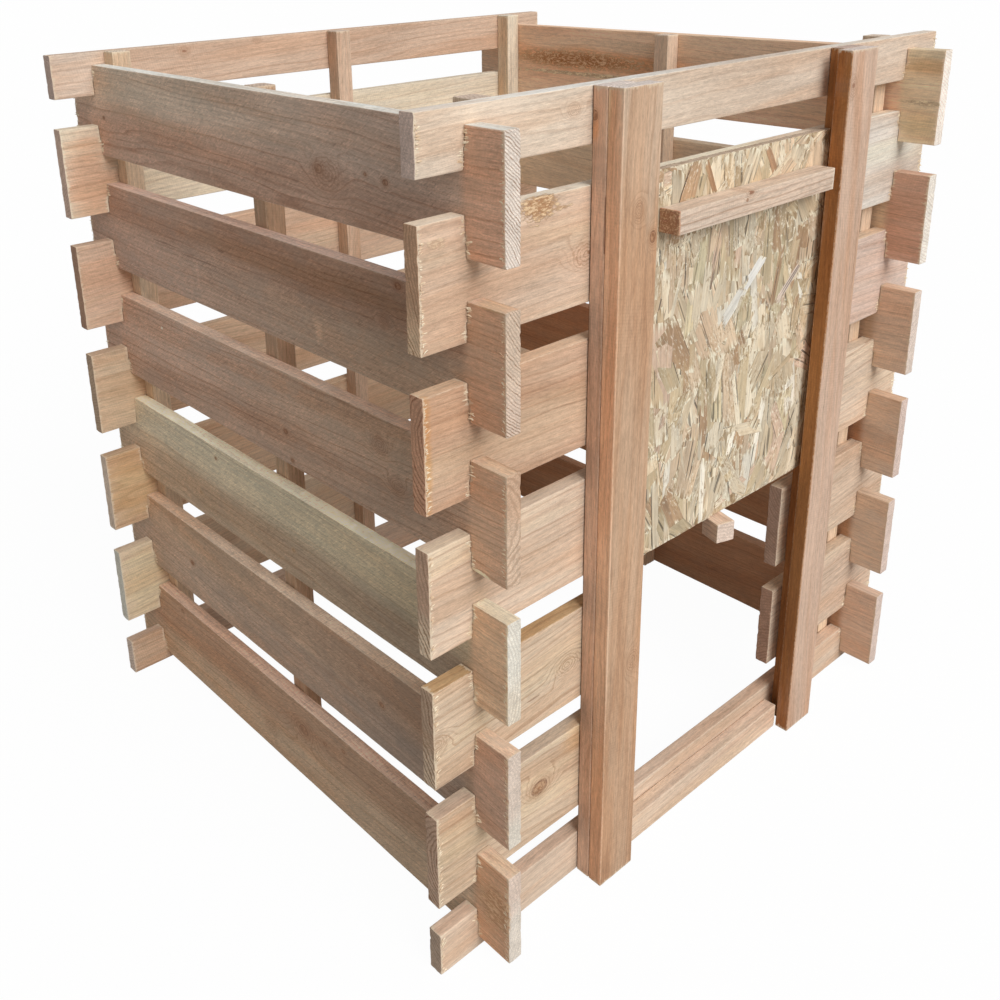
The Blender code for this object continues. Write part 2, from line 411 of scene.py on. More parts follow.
    def swayed(self, grid: np.ndarray, points: np.ndarray) -> np.ndarray:
        """Points pushed inwards by slow hollows, chips beside the cuts and ragged ends."""
        wear, seed = self.wear, self.seed
        s, w, t = grid.T
        half = (self.high[2] - self.low[2]) / 2
        cut = self.cut_distance(grid)
        for side, pull in ((0, 1.0), (1, -1.0)):
            sway = 0.5 + 0.5 * Swell(seed + 10 + side, 0.28, 3)(s, w * 2)
            torn = step_up(Swell(seed + 20 + side, 0.028, 3, 0.75)(s * 0.6, w), 0.12, 0.75)
            drop = wear.face_sway * sway + wear.chip * torn * np.clip(1 - cut / (7 * MM), 0, 1) ** 1.5
            drop += 0.25 * MM * np.clip(1 - cut / (1.2 * MM), 0, 1)
            depth = points[:, 2] - self.low[2] if side == 0 else self.high[2] - points[:, 2]
            points[:, 2] += pull * drop * np.clip(1 - depth / half, 0, 1)
            edge = wear.edge_sway * (0.5 + 0.5 * Swell(seed + 30 + side, 0.35, 4)(s, t))
            reach = points[:, 1] - self.low[1] if side == 0 else self.high[1] - points[:, 1]
            points[:, 1] += pull * edge * np.clip(1 - reach / (20 * MM), 0, 1)
            teeth = 0.5 + 0.5 * Swell(seed + 40 + side, 0.022, 3, 0.8)(w, t * 1.5)
            run = points[:, 0] - self.low[0] if side == 0 else self.high[0] - points[:, 0]
            points[:, 0] += pull * wear.end_rag * teeth ** 2 * np.clip(1 - run / (12 * MM), 0, 1)
        return points

    def grain(self, grid: np.ndarray, timber: Timber) -> np.ndarray:
        """Place along the grain and across it from the pith, in metres.

        The pith runs along the piece at the timber's offset from its middle, climbs by its tilt and
        wavers slowly.
        """
        middle = (self.low + self.high) / 2
        s, w, t = (grid - middle).T
        waver = Swell(self.seed + 50, 0.9, 3)
        zero = np.zeros_like(s)
        p = w - timber.pith[0] - timber.tilt * s - 8 * MM * timber.wander * waver(s, zero)
        q = t - timber.pith[1] - 8 * MM * timber.wander * waver(s, zero + 0.7)
        shift = (self.seed % 997) * 0.013
        return np.stack([s + shift, p, q], axis=1)

    def build(self, timber: Timber) -> bpy.types.Object:
        """The finished piece with its grain attribute and its distance to the worn edges."""
        grid, faces = self.surface()
        points = self.swayed(grid, self.rounded(grid))
        places = np.empty_like(points)
        places[:, list(self.order)] = points
        piece = mesh_object(self.name, places, faces.tolist())
        add_attribute(piece, "grain", self.grain(grid, timber))
        reach = np.minimum(grid[:, 1:] - self.low[1:], self.high[1:] - grid[:, 1:])
        near = np.minimum(np.max(reach, axis=1), self.cut_distance(grid) + np.min(reach, axis=1))
        add_attribute(piece, "arris", np.clip(1 - near / (2.0 * MM), 0, 1))
        add_attribute(piece, "beside_cut", np.clip(1 - self.cut_distance(grid) / (9 * MM), 0, 1))
        return piece


class NodeSheet:
    """One material's nodes, written in short calls that give sockets."""

    def __init__(self, name: str, world: bpy.types.World | None = None) -> None:
        """Starts an empty material with this name, or empties the world that is given."""
        self.material = world or bpy.data.materials.new(name)
        self.material.use_nodes = True
        self.tree = self.material.node_tree
        self.tree.nodes.clear()

    def add(self, kind: str, inputs: dict, **settings: object) -> bpy.types.Node:
        """A node with its settings made and its inputs linked or set.

        Args:
            kind: the node type without its ShaderNode prefix.
            inputs: socket number or name to a socket or a value.
            settings: the node's own properties.

        Returns:
            The node.
        """
        node = self.tree.nodes.new("ShaderNode" + kind)
        for key, value in settings.items():
            setattr(node, key, value)
        for key, value in inputs.items():
            if isinstance(value, Socket):
                self.tree.links.new(value, node.inputs[key])
            else:
                node.inputs[key].default_value = value
        return node

    def math(self, operation: str, *values: Socket | float, clamp: bool = False) -> Socket:
        """The result of a Math node."""
        return self.add("Math", dict(enumerate(values)), operation=operation, use_clamp=clamp).outputs[0]

    def times_add(self, value: Socket | float, factor: Socket | float, offset: Socket | float) -> Socket:
        """value * factor + offset."""
        return self.math("MULTIPLY_ADD", value, factor, offset)

    def times(self, first: Socket | float, second: Socket | float) -> Socket:
        """first * second."""
        return self.math("MULTIPLY", first, second)

    def varied(self, value: Socket | float, noise: Socket, amount: float) -> Socket:
        """The value with a noise around 0.5 added, times an amount."""
        return self.times_add(self.math("SUBTRACT", noise, 0.5), amount, value)

    def scaled(self, vector: Socket, scale: Place, place: Place = (0, 0, 0),
               turn: Place = (0, 0, 0)) -> Socket:
        """The vector through a Mapping node."""
        return self.add("Mapping", {0: vector, 1: place, 2: turn, 3: scale}).outputs[0]

    def length(self, vector: Socket) -> Socket:
        """The vector's length."""
        return self.add("VectorMath", {0: vector}, operation="LENGTH").outputs["Value"]

    def dot(self, vector: Socket, direction: Place) -> Socket:
        """How far the vector reaches along a direction."""
        return self.add("VectorMath", {0: vector, 1: direction}, operation="DOT_PRODUCT").outputs["Value"]

    def noise(self, vector: Socket, scale: float = 1.0, detail: float = 3.0, rough: float = 0.55) -> Socket:
        """Cloudy noise around 0.5."""
        node = self.add("TexNoise", {"Vector": vector, "Scale": scale, "Detail": detail, "Roughness": rough})
        return node.outputs[0]

    def chance(self, value: Socket) -> Socket:
        """A random number for each value."""
        return self.add("TexWhiteNoise", {"W": value}, noise_dimensions="1D").outputs["Value"]

    def step(self, value: Socket, start: float, end: float, low: float = 0.0, high: float = 1.0) -> Socket:
        """Smooth step from low at start to high at end."""
        if start > end:
            start, end, low, high = end, start, high, low
        node = self.add("MapRange", {0: value, 1: start, 2: end, 3: low, 4: high},
                        interpolation_type="SMOOTHSTEP")
        return node.outputs[0]

    def mix(self, share: Socket | float, first: Socket | Colour, second: Socket | Colour,
            blend: str = "MIX") -> Socket:
        """Two colours mixed by a share."""
        first, second = (value if isinstance(value, Socket) else (*value, 1.0) for value in (first, second))
        node = self.add("Mix", {0: share, 6: first, 7: second}, data_type="RGBA", blend_type=blend)
        return node.outputs[2]

    def lit(self, colour: Socket, factor: Socket) -> Socket:
        """A colour made lighter or darker by a factor."""
        node = self.add("VectorMath", {0: colour, "Scale": factor}, operation="SCALE")
        return node.outputs[0]

    def attribute(self, name: str) -> bpy.types.Node:
        """The node that reads a vertex attribute."""
        return self.add("Attribute", {}, attribute_name=name)

    def split(self, vector: Socket) -> tuple[Socket, Socket, Socket]:
        """The three numbers of a vector."""
        return tuple(self.add("SeparateXYZ", {0: vector}).outputs)

    def place(self) -> Socket:
        """Object coordinates, which are world metres at rest."""
        return self.add("TexCoord", {}).outputs["Object"]

    def facing(self, direction: Place) -> Socket:
        """How squarely the face looks along a direction, either way round, from 0 to 1."""
        normal = self.add("NewGeometry", {}).outputs["True Normal"]
        return self.math("ABSOLUTE", self.dot(normal, direction))

    def finish(self, colour: Socket, rough: Socket | float, height: Socket, strength: float, depth: float,
               metal: float = 0.0, gloss: float = 0.25) -> bpy.types.Material:
        """Links colour, roughness and relief to the surface.

        Args:
            colour: base colour.
            rough: roughness.
            height: relief, 0 to 1.
            strength: strength of the relief.
            depth: depth in metres of a height of 1.
            metal: how metallic the surface is.
            gloss: specular level.

        Returns:
            The finished material.
        """
        bump = self.add("Bump", {"Height": height, "Strength": strength, "Distance": depth})
        surface = self.add("BsdfPrincipled", {"Base Color": colour, "Roughness": rough, "Metallic": metal,
                                              "Specular IOR Level": gloss, "Normal": bump.outputs[0]})
        self.add("OutputMaterial", {0: surface.outputs[0]})
        return self.material


class WoodFinish:
    """The material of one sawn piece: rings, fibres, knots, saw marks, weather and cut ends."""

    knot_rim: Colour = (0.16, 0.065, 0.035)
    dust: Colour = (0.42, 0.36, 0.29)
    torn_cream: Colour = (1.0, 0.90, 0.68)
    fleck: Colour = (0.92, 0.80, 0.62)
    tear_light: Colour = (0.95, 0.76, 0.50)
    tear_dark: Colour = (0.30, 0.13, 0.05)
    late_fade: Colour = (0.66, 0.51, 0.42)
    ruddy_fade: Colour = (0.98, 0.82, 0.70)
    dull_fade: Colour = (0.88, 0.72, 0.60)
    eye_fade: Colour = (0.52, 0.37, 0.28)
    ring_fade: Colour = (0.42, 0.31, 0.24)
    sap_fade: Colour = (0.86, 0.78, 0.68)
    before_wall: tuple[float, float] = (-0.424, -0.440)
    narrow_face: tuple[float, float] = (0.55, 0.85)
    cut_face: tuple[float, float] = (0.55, 0.80)
    saw_pitch: float = 4.2 * MM
    relief_depth: float = 0.9 * MM

    def __init__(self, name: str, timber: Timber, lay: Lay) -> None:
        """Keeps what the material is made from."""
        self.sheet = NodeSheet(name)
        self.timber = timber
        self.lay = lay

    def distance_to(self, mark: Mark) -> Socket:
        """Distance from a mark's centre in units of its reach."""
        scale = tuple(1 / reach for reach in mark.reach)
        offset = tuple(-centre / reach for centre, reach in zip(mark.centre, mark.reach))
        return self.sheet.length(self.sheet.scaled(self.place, scale, offset))

    def nearest(self, kind: MarkKind) -> Socket | None:
        """Distance to the nearest mark of a kind, in units of its reach, or None."""
        nearest = None
        for mark in self.timber.marks:
            if mark.kind is kind:
                distance = self.distance_to(mark)
                nearest = distance if nearest is None else self.sheet.math("MINIMUM", nearest, distance)
        return nearest

    def from_pith(self, p: Socket, q: Socket) -> Socket:
        """Distance from the pith, the root of p * p + q * q."""
        sheet = self.sheet
        return sheet.math("SQRT", sheet.math("ADD", sheet.times(p, p), sheet.times(q, q)))

    def rings(self, knots: Socket | None, swirls: Socket | None) -> tuple[Socket, Socket]:
        """Numbers of rings out from the pith, for the sides and for the cut ends.

        The count is the distance to the pith over the ring pitch. It is wavy, and lifted round
        knots and swirls so that lines flow past them.
        """
        sheet, timber = self.sheet, self.timber
        _, p, q = sheet.split(self.grain)
        radius = self.from_pith(p, q)
        slow = sheet.noise(sheet.scaled(self.grain, (2.2, 9.0, 9.0)), detail=2.0)
        quick = sheet.noise(sheet.scaled(self.grain, (10.0, 42.0, 42.0)), detail=3.0)
        uneven = sheet.noise(sheet.scaled(self.grain, (0.6, 44.0, 44.0), (2.2, 0.0, 0.0)), detail=2.0)
        self.radius = sheet.times_add(quick, 6 * MM, radius)
        self.across = sheet.times_add(quick, 14 * MM, sheet.math("ADD", p, timber.pith[0] - 7 * MM))
        count = sheet.math("DIVIDE", radius, timber.ring_pitch)
        count = sheet.times_add(slow, 4.0 * timber.wander, count)
        count = sheet.times_add(quick, 0.7, count)
        count = sheet.times_add(uneven, 1.8, count)
        for distance, lift in ((knots, 4.0), (swirls, 3.0)):
            if distance:
                count = sheet.math("ADD", count, sheet.step(distance, 3.6, 0.4, 0.0, lift))
        if timber.end_shift != (0.0, 0.0):
            moved = (sheet.math("ADD", side, shift) for side, shift in zip((p, q), timber.end_shift))
            radius = self.from_pith(*moved)
        ends = sheet.times_add(quick, 2.2, sheet.math("DIVIDE", radius, timber.end_pitch))
        return count, ends

    def summer_lines(self, count: Socket) -> Socket:
        """Dark line share of each ring: it rises slowly and ends sharply, and rings differ in depth."""
        sheet = self.sheet
        share = sheet.math("FRACT", count)
        line = sheet.times(sheet.step(share, 0.56, 0.93), sheet.step(share, 1.0, 0.94))
        depth = sheet.times_add(sheet.chance(sheet.math("FLOOR", count)), 0.85, 0.15)
        return sheet.times(line, depth)

    def end_bands(self, count: Socket) -> Socket:
        """Dark share of each ring on a cut end, nearly as wide as the pale share."""
        sheet = self.sheet
        share = sheet.math("FRACT", count)
        band = sheet.times(sheet.step(share, 0.38, 0.68), sheet.step(share, 0.98, 0.82))
        return sheet.times(band, sheet.times_add(sheet.chance(sheet.math("FLOOR", count)), 0.7, 0.3))

    def long_grain(self, line: Socket) -> Socket:
        """Colour of the sides: ring lines, broad changes of tone, streaks, cream bands and sapwood."""
        sheet, timber = self.sheet, self.timber
        tone = timber.tone
        early = tuple(min(1.0, share * 1.06) for share in tone)
        late, ruddy = faded(tone, self.late_fade), faded(tone, self.ruddy_fade)
        broad = sheet.noise(sheet.scaled(self.grain, (4.0, 17.0, 17.0)), detail=3.0)
        warm = sheet.noise(sheet.scaled(self.grain, (2.3, 24.0, 24.0), (3.1, 0.4, 0.2)), detail=2.0)
        base = sheet.mix(sheet.step(warm, 0.40, 0.66, 0.0, timber.warmth * 2), early, ruddy)
        sap_late = faded(timber.sap, self.sap_fade)
        if timber.cream:
            band = sheet.noise(sheet.scaled(self.grain, (1.6, 15.0, 15.0), (0.7, 1.9, 0.3)), detail=3.0)
            base = sheet.mix(sheet.step(band, 0.46, 0.64, 0.0, timber.cream), base, timber.sap)
        base = sheet.mix(sheet.math("MULTIPLY", line, timber.line_depth * 1.9, clamp=True), base, late)
        if timber.sap_from < 1.0:
            edge = sheet.step(self.radius, timber.sap_from, timber.sap_from + 4 * MM)
            base = sheet.mix(edge, base, sheet.mix(line, timber.sap, sap_late))
        self.streak = sheet.noise(sheet.scaled(self.grain, (7.0, 330.0, 330.0)), detail=4.0, rough=0.65)
        self.fibre = sheet.noise(sheet.scaled(self.grain, (75.0, 800.0, 800.0)), detail=3.0, rough=0.7)
        self.mottle = sheet.noise(sheet.scaled(self.grain, (60.0, 260.0, 260.0)), detail=5.0, rough=0.72)
        light = sheet.varied(1.0, broad, 0.55)
        light = sheet.varied(light, self.streak, 0.66)
        light = sheet.varied(light, self.fibre, 0.74)
        light = sheet.varied(light, self.mottle, 3.5 * timber.mottle)
        self.grit = sheet.noise(sheet.scaled(self.grain, (170.0, 520.0, 520.0)), detail=4.0, rough=0.75)
        light = sheet.varied(light, self.grit, timber.grit)
        base = sheet.lit(base, light)
        if timber.flecks:
            base = sheet.mix(sheet.step(self.mottle, 0.62, 0.70, 0.0, timber.flecks), base, self.fleck)
        return base

    def sawn_over(self, colour: Socket) -> Socket:
        """Saw lines across the piece, slanted scratches, and grey patches of weather."""
        sheet, timber, lay = self.sheet, self.timber, self.lay
        slanted = tuple(a + b for a, b in zip(lay.length.along(), lay.width.along(0.22)))
        run = sheet.dot(self.place, slanted)
        patch = sheet.noise(self.place, 9.0, 2.0)
        wave = sheet.math("SINE", sheet.times_add(patch, 9.0, sheet.times(run, 2 * math.pi / self.saw_pitch)))
        self.saw = sheet.times(sheet.step(wave, -0.2, 1.0), sheet.step(patch, 0.44, 0.62))
        light = sheet.times_add(self.saw, -0.13 * timber.saw, 1.0)
        if timber.scratch:
            turned = [0.0, 0.0, 0.0]
            turned[lay.thickness.value] = 0.62
            scale = [70.0, 70.0, 70.0]
            scale[lay.width.value] = 620.0
            rub = sheet.noise(sheet.scaled(sheet.scaled(self.place, (1, 1, 1), turn=tuple(turned)),
                                           tuple(scale)), detail=4.0, rough=0.75)
            bare = sheet.step(sheet.dot(self.place, Axis.Y.along()), *self.before_wall, 1.0, 0.3)
            lit = sheet.math("SUBTRACT", sheet.step(rub, 0.54, 0.66), sheet.step(rub, 0.46, 0.34))
            light = sheet.times_add(sheet.times(lit, bare), 0.34 * timber.scratch, light)
        colour = sheet.lit(colour, light)
        if timber.weather:
            blot = sheet.noise(sheet.scaled(self.grain, (0.45, 1, 1), (4.0, 2.0, 1.0)), 34.0, 6.0, 0.72)
            share = sheet.step(blot, 0.46, 0.60, 0.0, timber.weather)
            grey = tuple(tone * 0.45 + dust * 0.40 for tone, dust in zip(timber.tone, self.dust))
            colour = sheet.mix(share, colour, grey)
        return colour

    def shaded(self, base: Socket) -> Socket:
        """The base times the tints of its broad faces' corners, of the part in front and of its edges:
        painted light and shade, partly the wood's own tone.
        """
        sheet, timber, lay = self.sheet, self.timber, self.lay
        colour = base
        # painted light and shade, partly the wood's own tone: four tints blended from corner to corner of the
        # broad faces
        if timber.shades:
            run = sheet.step(sheet.dot(self.place, lay.length.along()), -0.40, 0.40)
            low_near, low_far, high_near, high_far = timber.shades
            low, high = sheet.mix(run, low_near, low_far), sheet.mix(run, high_near, high_far)
            shade = sheet.mix(sheet.step(self.across, -28 * MM, 28 * MM), low, high)
            colour = sheet.mix(1.0, base, shade, "MULTIPLY")
        # painted light on the part in front of the front wall, out of the bin's shade; below one it is
        # painted shade
        if timber.front_tint:
            front = sheet.step(sheet.dot(self.place, Axis.Y.along()), *self.before_wall)
            colour = sheet.mix(front, colour, sheet.mix(1.0, base, timber.front_tint, "MULTIPLY"))
        # painted light on the narrow faces, the top edges most; painted shade where the tint is below one
        if timber.edge_tint != WHITE:
            narrow = sheet.step(sheet.facing(lay.width.along()), *self.narrow_face)
            colour = sheet.mix(narrow, colour, sheet.mix(1.0, base, timber.edge_tint, "MULTIPLY"))
        return self.patched(colour, True)

    def cut_ends(self, colour: Socket, line: Socket) -> Socket:
        """Paler end grain with broken rings and coarse saw fuzz on faces that look along the piece."""
        sheet, timber = self.sheet, self.timber
        self.cut = sheet.step(sheet.facing(self.lay.length.along()), *self.cut_face)
        fuzz = sheet.noise(sheet.scaled(self.place, (1, 1, 1.6), turn=(0.5, 0.5, 0.5)), 360.0, 4.0, 0.75)
        blots = sheet.noise(self.place, 60.0, 3.0, 0.6)
        high = sheet.step(sheet.times_add(blots, 50 * MM, self.across), -5 * MM, 45 * MM)
        lines = sheet.step(high, 0.0, 1.0, *timber.end_lines)
        broken = sheet.step(fuzz, 0.40, 0.56, 0.15, 1.25)
        bright = tuple((tone + (1 - tone) * timber.end_paleness * 0.55) * 1.10 for tone in timber.tone)
        pale = [faded(bright, tints) for tints in (timber.end_low or timber.end_tint, timber.end_tint)]
        dark = [faded(colours, self.ring_fade) for colours in pale]
        share = sheet.times(sheet.times(line, broken), lines)
        end = sheet.mix(share, sheet.mix(high, *pale), sheet.mix(high, *dark))
        end = sheet.lit(end, sheet.varied(0.97, fuzz, 1.6))
        end = sheet.lit(end, sheet.varied(1.0, blots, 0.5))
        self.fuzz = fuzz
        return sheet.mix(self.cut, colour, end)

    def knotted(self, colour: Socket, knots: Socket | None, swirls: Socket | None) -> Socket:
        """Knots with rings of their own and a broken dark rim, and swirls that are only rings."""
        sheet, tone = self.sheet, self.timber.tone
        dull, eye = faded(tone, self.dull_fade), faded(tone, self.eye_fade)
        for distance, filled in ((knots, 1.0), (swirls, 0.0)):
            if distance is None:
                continue
            cloud = sheet.noise(self.place, 190.0, 3.0, 0.65)
            rough = sheet.times_add(cloud, 0.7, sheet.math("SUBTRACT", distance, 0.35))
            colour = sheet.mix(sheet.step(rough, 2.6, 0.8, 0.0, 0.22 + 0.30 * filled), colour, dull)
            ring = sheet.step(sheet.math("FRACT", sheet.times(rough, 2.6)), 0.45, 0.95)
            round_rings = sheet.times(ring, sheet.step(rough, 2.4, 1.0, 0.0, 0.55))
            colour = sheet.mix(round_rings, colour, eye)
            if not filled:
                continue
            heart = sheet.mix(sheet.step(cloud, 0.42, 0.60), eye, dull)
            colour = sheet.mix(sheet.step(rough, 1.05, 0.75), colour, heart)
            rim = sheet.times(sheet.step(rough, 0.78, 1.0), sheet.step(rough, 1.22, 1.04))
            broken = sheet.times(rim, sheet.step(cloud, 0.40, 0.60, 0.15, 1.0))
            self.rim = broken if self.rim is None else sheet.math("MAXIMUM", self.rim, broken)
            colour = sheet.mix(sheet.times(broken, 0.8), colour, self.knot_rim)
        return colour

    def patched(self, colour: Socket, tinges: bool) -> Socket:
        """Tinges, or else dabs and torn places, each with a ragged border."""
        sheet = self.sheet
        self.tear = None
        marks = [mark for mark in self.timber.marks if mark.kind not in (MarkKind.KNOT, MarkKind.SWIRL)]
        if not marks:
            return colour
        stretch = [1.0, 1.0, 1.0]
        stretch[self.lay.length.value] = 0.35
        if tinges:
            edge = sheet.noise(sheet.scaled(self.place, faded(stretch, stretch)), 60.0, 3.0, 0.6)
        else:
            edge = sheet.noise(self.place, 75.0, 4.0, 0.6)
        crumbs = sheet.noise(sheet.scaled(self.place, tuple(stretch)), 330.0, 3.0, 0.7)
        for mark in marks:
            if (mark.kind is MarkKind.TINGE) is not tinges:
                continue
            torn = mark.kind is MarkKind.TORN
            ragged, firm = (1.2, 1.0) if tinges else (2.4, 1.8) if torn else (1.5, 1.5)
            border = crumbs if torn else edge
            distance = sheet.times_add(border, ragged, self.distance_to(mark))
            mask = sheet.step(distance, 2.15 if torn else 1.95, firm, 0.0, mark.strength)
            if torn:
                deep = sheet.mix(sheet.step(crumbs, 0.38, 0.56), self.tear_light, self.tear_dark)
                depth = sheet.times(mask, sheet.math("SUBTRACT", 1.0, crumbs))
                self.tear = depth if self.tear is None else sheet.math("MAXIMUM", self.tear, depth)
                colour = sheet.mix(mask, colour, sheet.mix(0.40, deep, mark.tint))
            elif mark.kind is MarkKind.TINGE:
                colour = sheet.mix(mask, colour, sheet.mix(1.0, colour, mark.tint, "MULTIPLY"))
            else:
                colour = sheet.mix(mask, colour, mark.tint)
        return colour

    def lifted(self, share: float) -> Colour:
        """The wood's tone moved this far towards cream."""
        return tuple(tone + (cream - tone) * share for tone, cream in zip(self.timber.tone, self.torn_cream))

    def relief(self, line: Socket) -> Socket:
        """Height of the surface: fibres stand up, summer lines too, saw lines and rims are low."""
        sheet = self.sheet
        height = sheet.times_add(self.streak, 0.45, sheet.times(self.fibre, 0.45))
        height = sheet.times_add(self.mottle, 0.5, height)
        height = sheet.times_add(self.grit, 0.6, height)
        height = sheet.times_add(line, 0.12, height)
        height = sheet.times_add(self.saw, -0.30 * self.timber.saw, height)
        height = sheet.math("ADD", height, sheet.times(self.cut, sheet.times(self.fuzz, 1.1)))
        if self.rim is not None:
            height = sheet.times_add(self.rim, -0.5, height)
        if self.tear is not None:
            height = sheet.times_add(self.tear, 3.0, height)
        return height

    def material(self) -> bpy.types.Material:
        """Builds the whole material."""
        sheet, timber = self.sheet, self.timber
        self.grain = sheet.attribute("grain").outputs["Vector"]
        self.place = sheet.place()
        self.rim = None
        knots, swirls = self.nearest(MarkKind.KNOT), self.nearest(MarkKind.SWIRL)
        count, end_count = self.rings(knots, swirls)
        line = self.summer_lines(count)
        colour = self.shaded(self.sawn_over(self.long_grain(line)))
        beside = sheet.attribute("beside_cut").outputs["Fac"]
        ragged = sheet.step(sheet.varied(beside, self.mottle, 2.6), 0.62, 0.80)
        colour = sheet.mix(sheet.times(ragged, timber.ragged), colour, self.lifted(0.42))
        # cream along the worn arrises: partly rubbed wood, partly painted highlight where the edges catch the
        # light
        worn = sheet.times(sheet.attribute("arris").outputs["Fac"], sheet.step(self.grit, 0.42, 0.60))
        colour = sheet.mix(sheet.times(worn, 0.55), colour, self.lifted(0.50))
        colour = self.cut_ends(colour, self.end_bands(end_count))
        colour = self.patched(self.knotted(colour, knots, swirls), False)
        rough = sheet.times_add(self.streak, 0.22, 0.66)
        return sheet.finish(colour, rough, self.relief(line), timber.bump, self.relief_depth)


@dataclass
class Assembly:
    """A group of pieces that are built and dressed together."""

    made: list[str] = field(default_factory=list)

    def keep(self, piece: bpy.types.Object, body: Body, slot: Slot, *nodes: str) -> bpy.types.Object:
        """Gives a piece its body, hides the CAD nodes that it stands for, and reports it."""
        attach(piece, body.value)
        if nodes:
            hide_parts(*nodes)
        self.made.append(piece.name)
        log.info("%s: %d faces", piece.name, len(piece.data.polygons))
        return piece

    def saw(self, node: str, lay: Lay, timber: Timber, wear: Wear, body: Body = Body.BIN,
            slot: Slot = Slot.HEARTWOOD, crossing: tuple[str, ...] = ()) -> bpy.types.Object:
        """Builds and dresses the sawn piece that stands for a CAD node.

        Args:
            node: the CAD node's name.
            lay: the axes of its length, width and thickness.
            timber: its finish.
            wear: its wear.
            body: the body that it rides on.
            slot: its material slot; not used.
            crossing: nodes that it may be half-lapped with.

        Returns:
            The new piece.
        """
        low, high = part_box(node)
        notches = tuple(cut for name in crossing for cut in lap_notch(node, name, lay))
        piece = SawnPiece(node + "_sawn", low, high, lay, wear, notches).build(timber)
        piece.data.materials.append(WoodFinish(node + "_wood", timber, lay).material())
        return self.keep(piece, body, slot, node)


def lap_notch(node: str, other: str, lay: Lay) -> list[Notch]:
    """The notch that a board has where another crosses it, or an empty list.

    The notch is as wide as the other board with its clearance, and takes half of the height that
    the two share.
    """
    low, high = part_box(node)
    other_low, other_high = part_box(other)
    shared = [min(high[n], other_high[n]) - max(low[n], other_low[n]) for n in range(3)]
    if min(shared) < MM:
        return []
    along, across = lay.length.value, lay.width.value
    start = other_low[along] - NOTCH_SIDE_CLEARANCE
    end = other_high[along] + NOTCH_SIDE_CLEARANCE
    depth = (shared[across] + SEAT_GAP) / 2
    from_top = other_high[across] > high[across]
    floor = high[across] - depth if from_top else low[across] + depth
    return [Notch(start, end, floor, from_top)]


SIDE_BOARDS = tuple(f"{side}_board_{course}" for side in ("left", "right") for course in range(1, 7))
END_BOARDS = tuple(
    [f"back_board_{part}" for part in ("top", 1, 2, 3, 4, 5, "bottom")]
    + [f"front_board_{part}" for part in ("top", 1, 2, 3, "bottom")]
    + [f"front_stub_{side}_{course}" for side in ("left", "right") for course in (4, 5)])


def knot(x: float, y: float, z: float, size: float, lay: Lay, kind: MarkKind = MarkKind.KNOT) -> Mark:
    """A knot or swirl at a place in millimetres, longer along the grain, right through the piece.

    Args:
        x, y, z: its centre, mm.
        size: its radius, mm.
        lay: the piece's lay.
        kind: a knot or a swirl.

    Returns:
        The mark.
    """
    reach = [size * MM] * 3
    reach[lay.thickness.value] = 0.10
    reach[lay.length.value] = size * 1.35 * MM
    return Mark(kind, (x * MM, y * MM, z * MM), tuple(reach))


def patch(kind: MarkKind, centre: Place, reach: Place, tint: Colour, strength: float = 0.85) -> Mark:
    """A torn, dabbed or tinged place, with centre and reach in millimetres."""
    centre, reach = (tuple(value * MM for value in values) for values in (centre, reach))
    return Mark(kind, centre, reach, tint, strength)


LEFT_WALL = Timber(WHITE, weather=0.3, scratch=0.75, grit=0.9)
RIGHT_WALL = Timber(WHITE, weather=0.2, mottle=0.12, end_paleness=0.7)
FRONT_WALL = Timber(WHITE, saw=0.15, mottle=0.12)
BACK_WALL = Timber(WHITE, mottle=0.12)
UPRIGHT = Timber(WHITE)


def board(base: Timber, tone: Colour, line_depth: float, ring_pitch: float, pith: tuple[float, float],
          tilt: float, **more: object) -> Timber:
    """A wall's common timber with one board's own tone, rings (pitch in millimetres) and other fields."""
    return replace(base, tone=tone, line_depth=line_depth, ring_pitch=ring_pitch * MM, pith=pith, tilt=tilt,
                   **more)


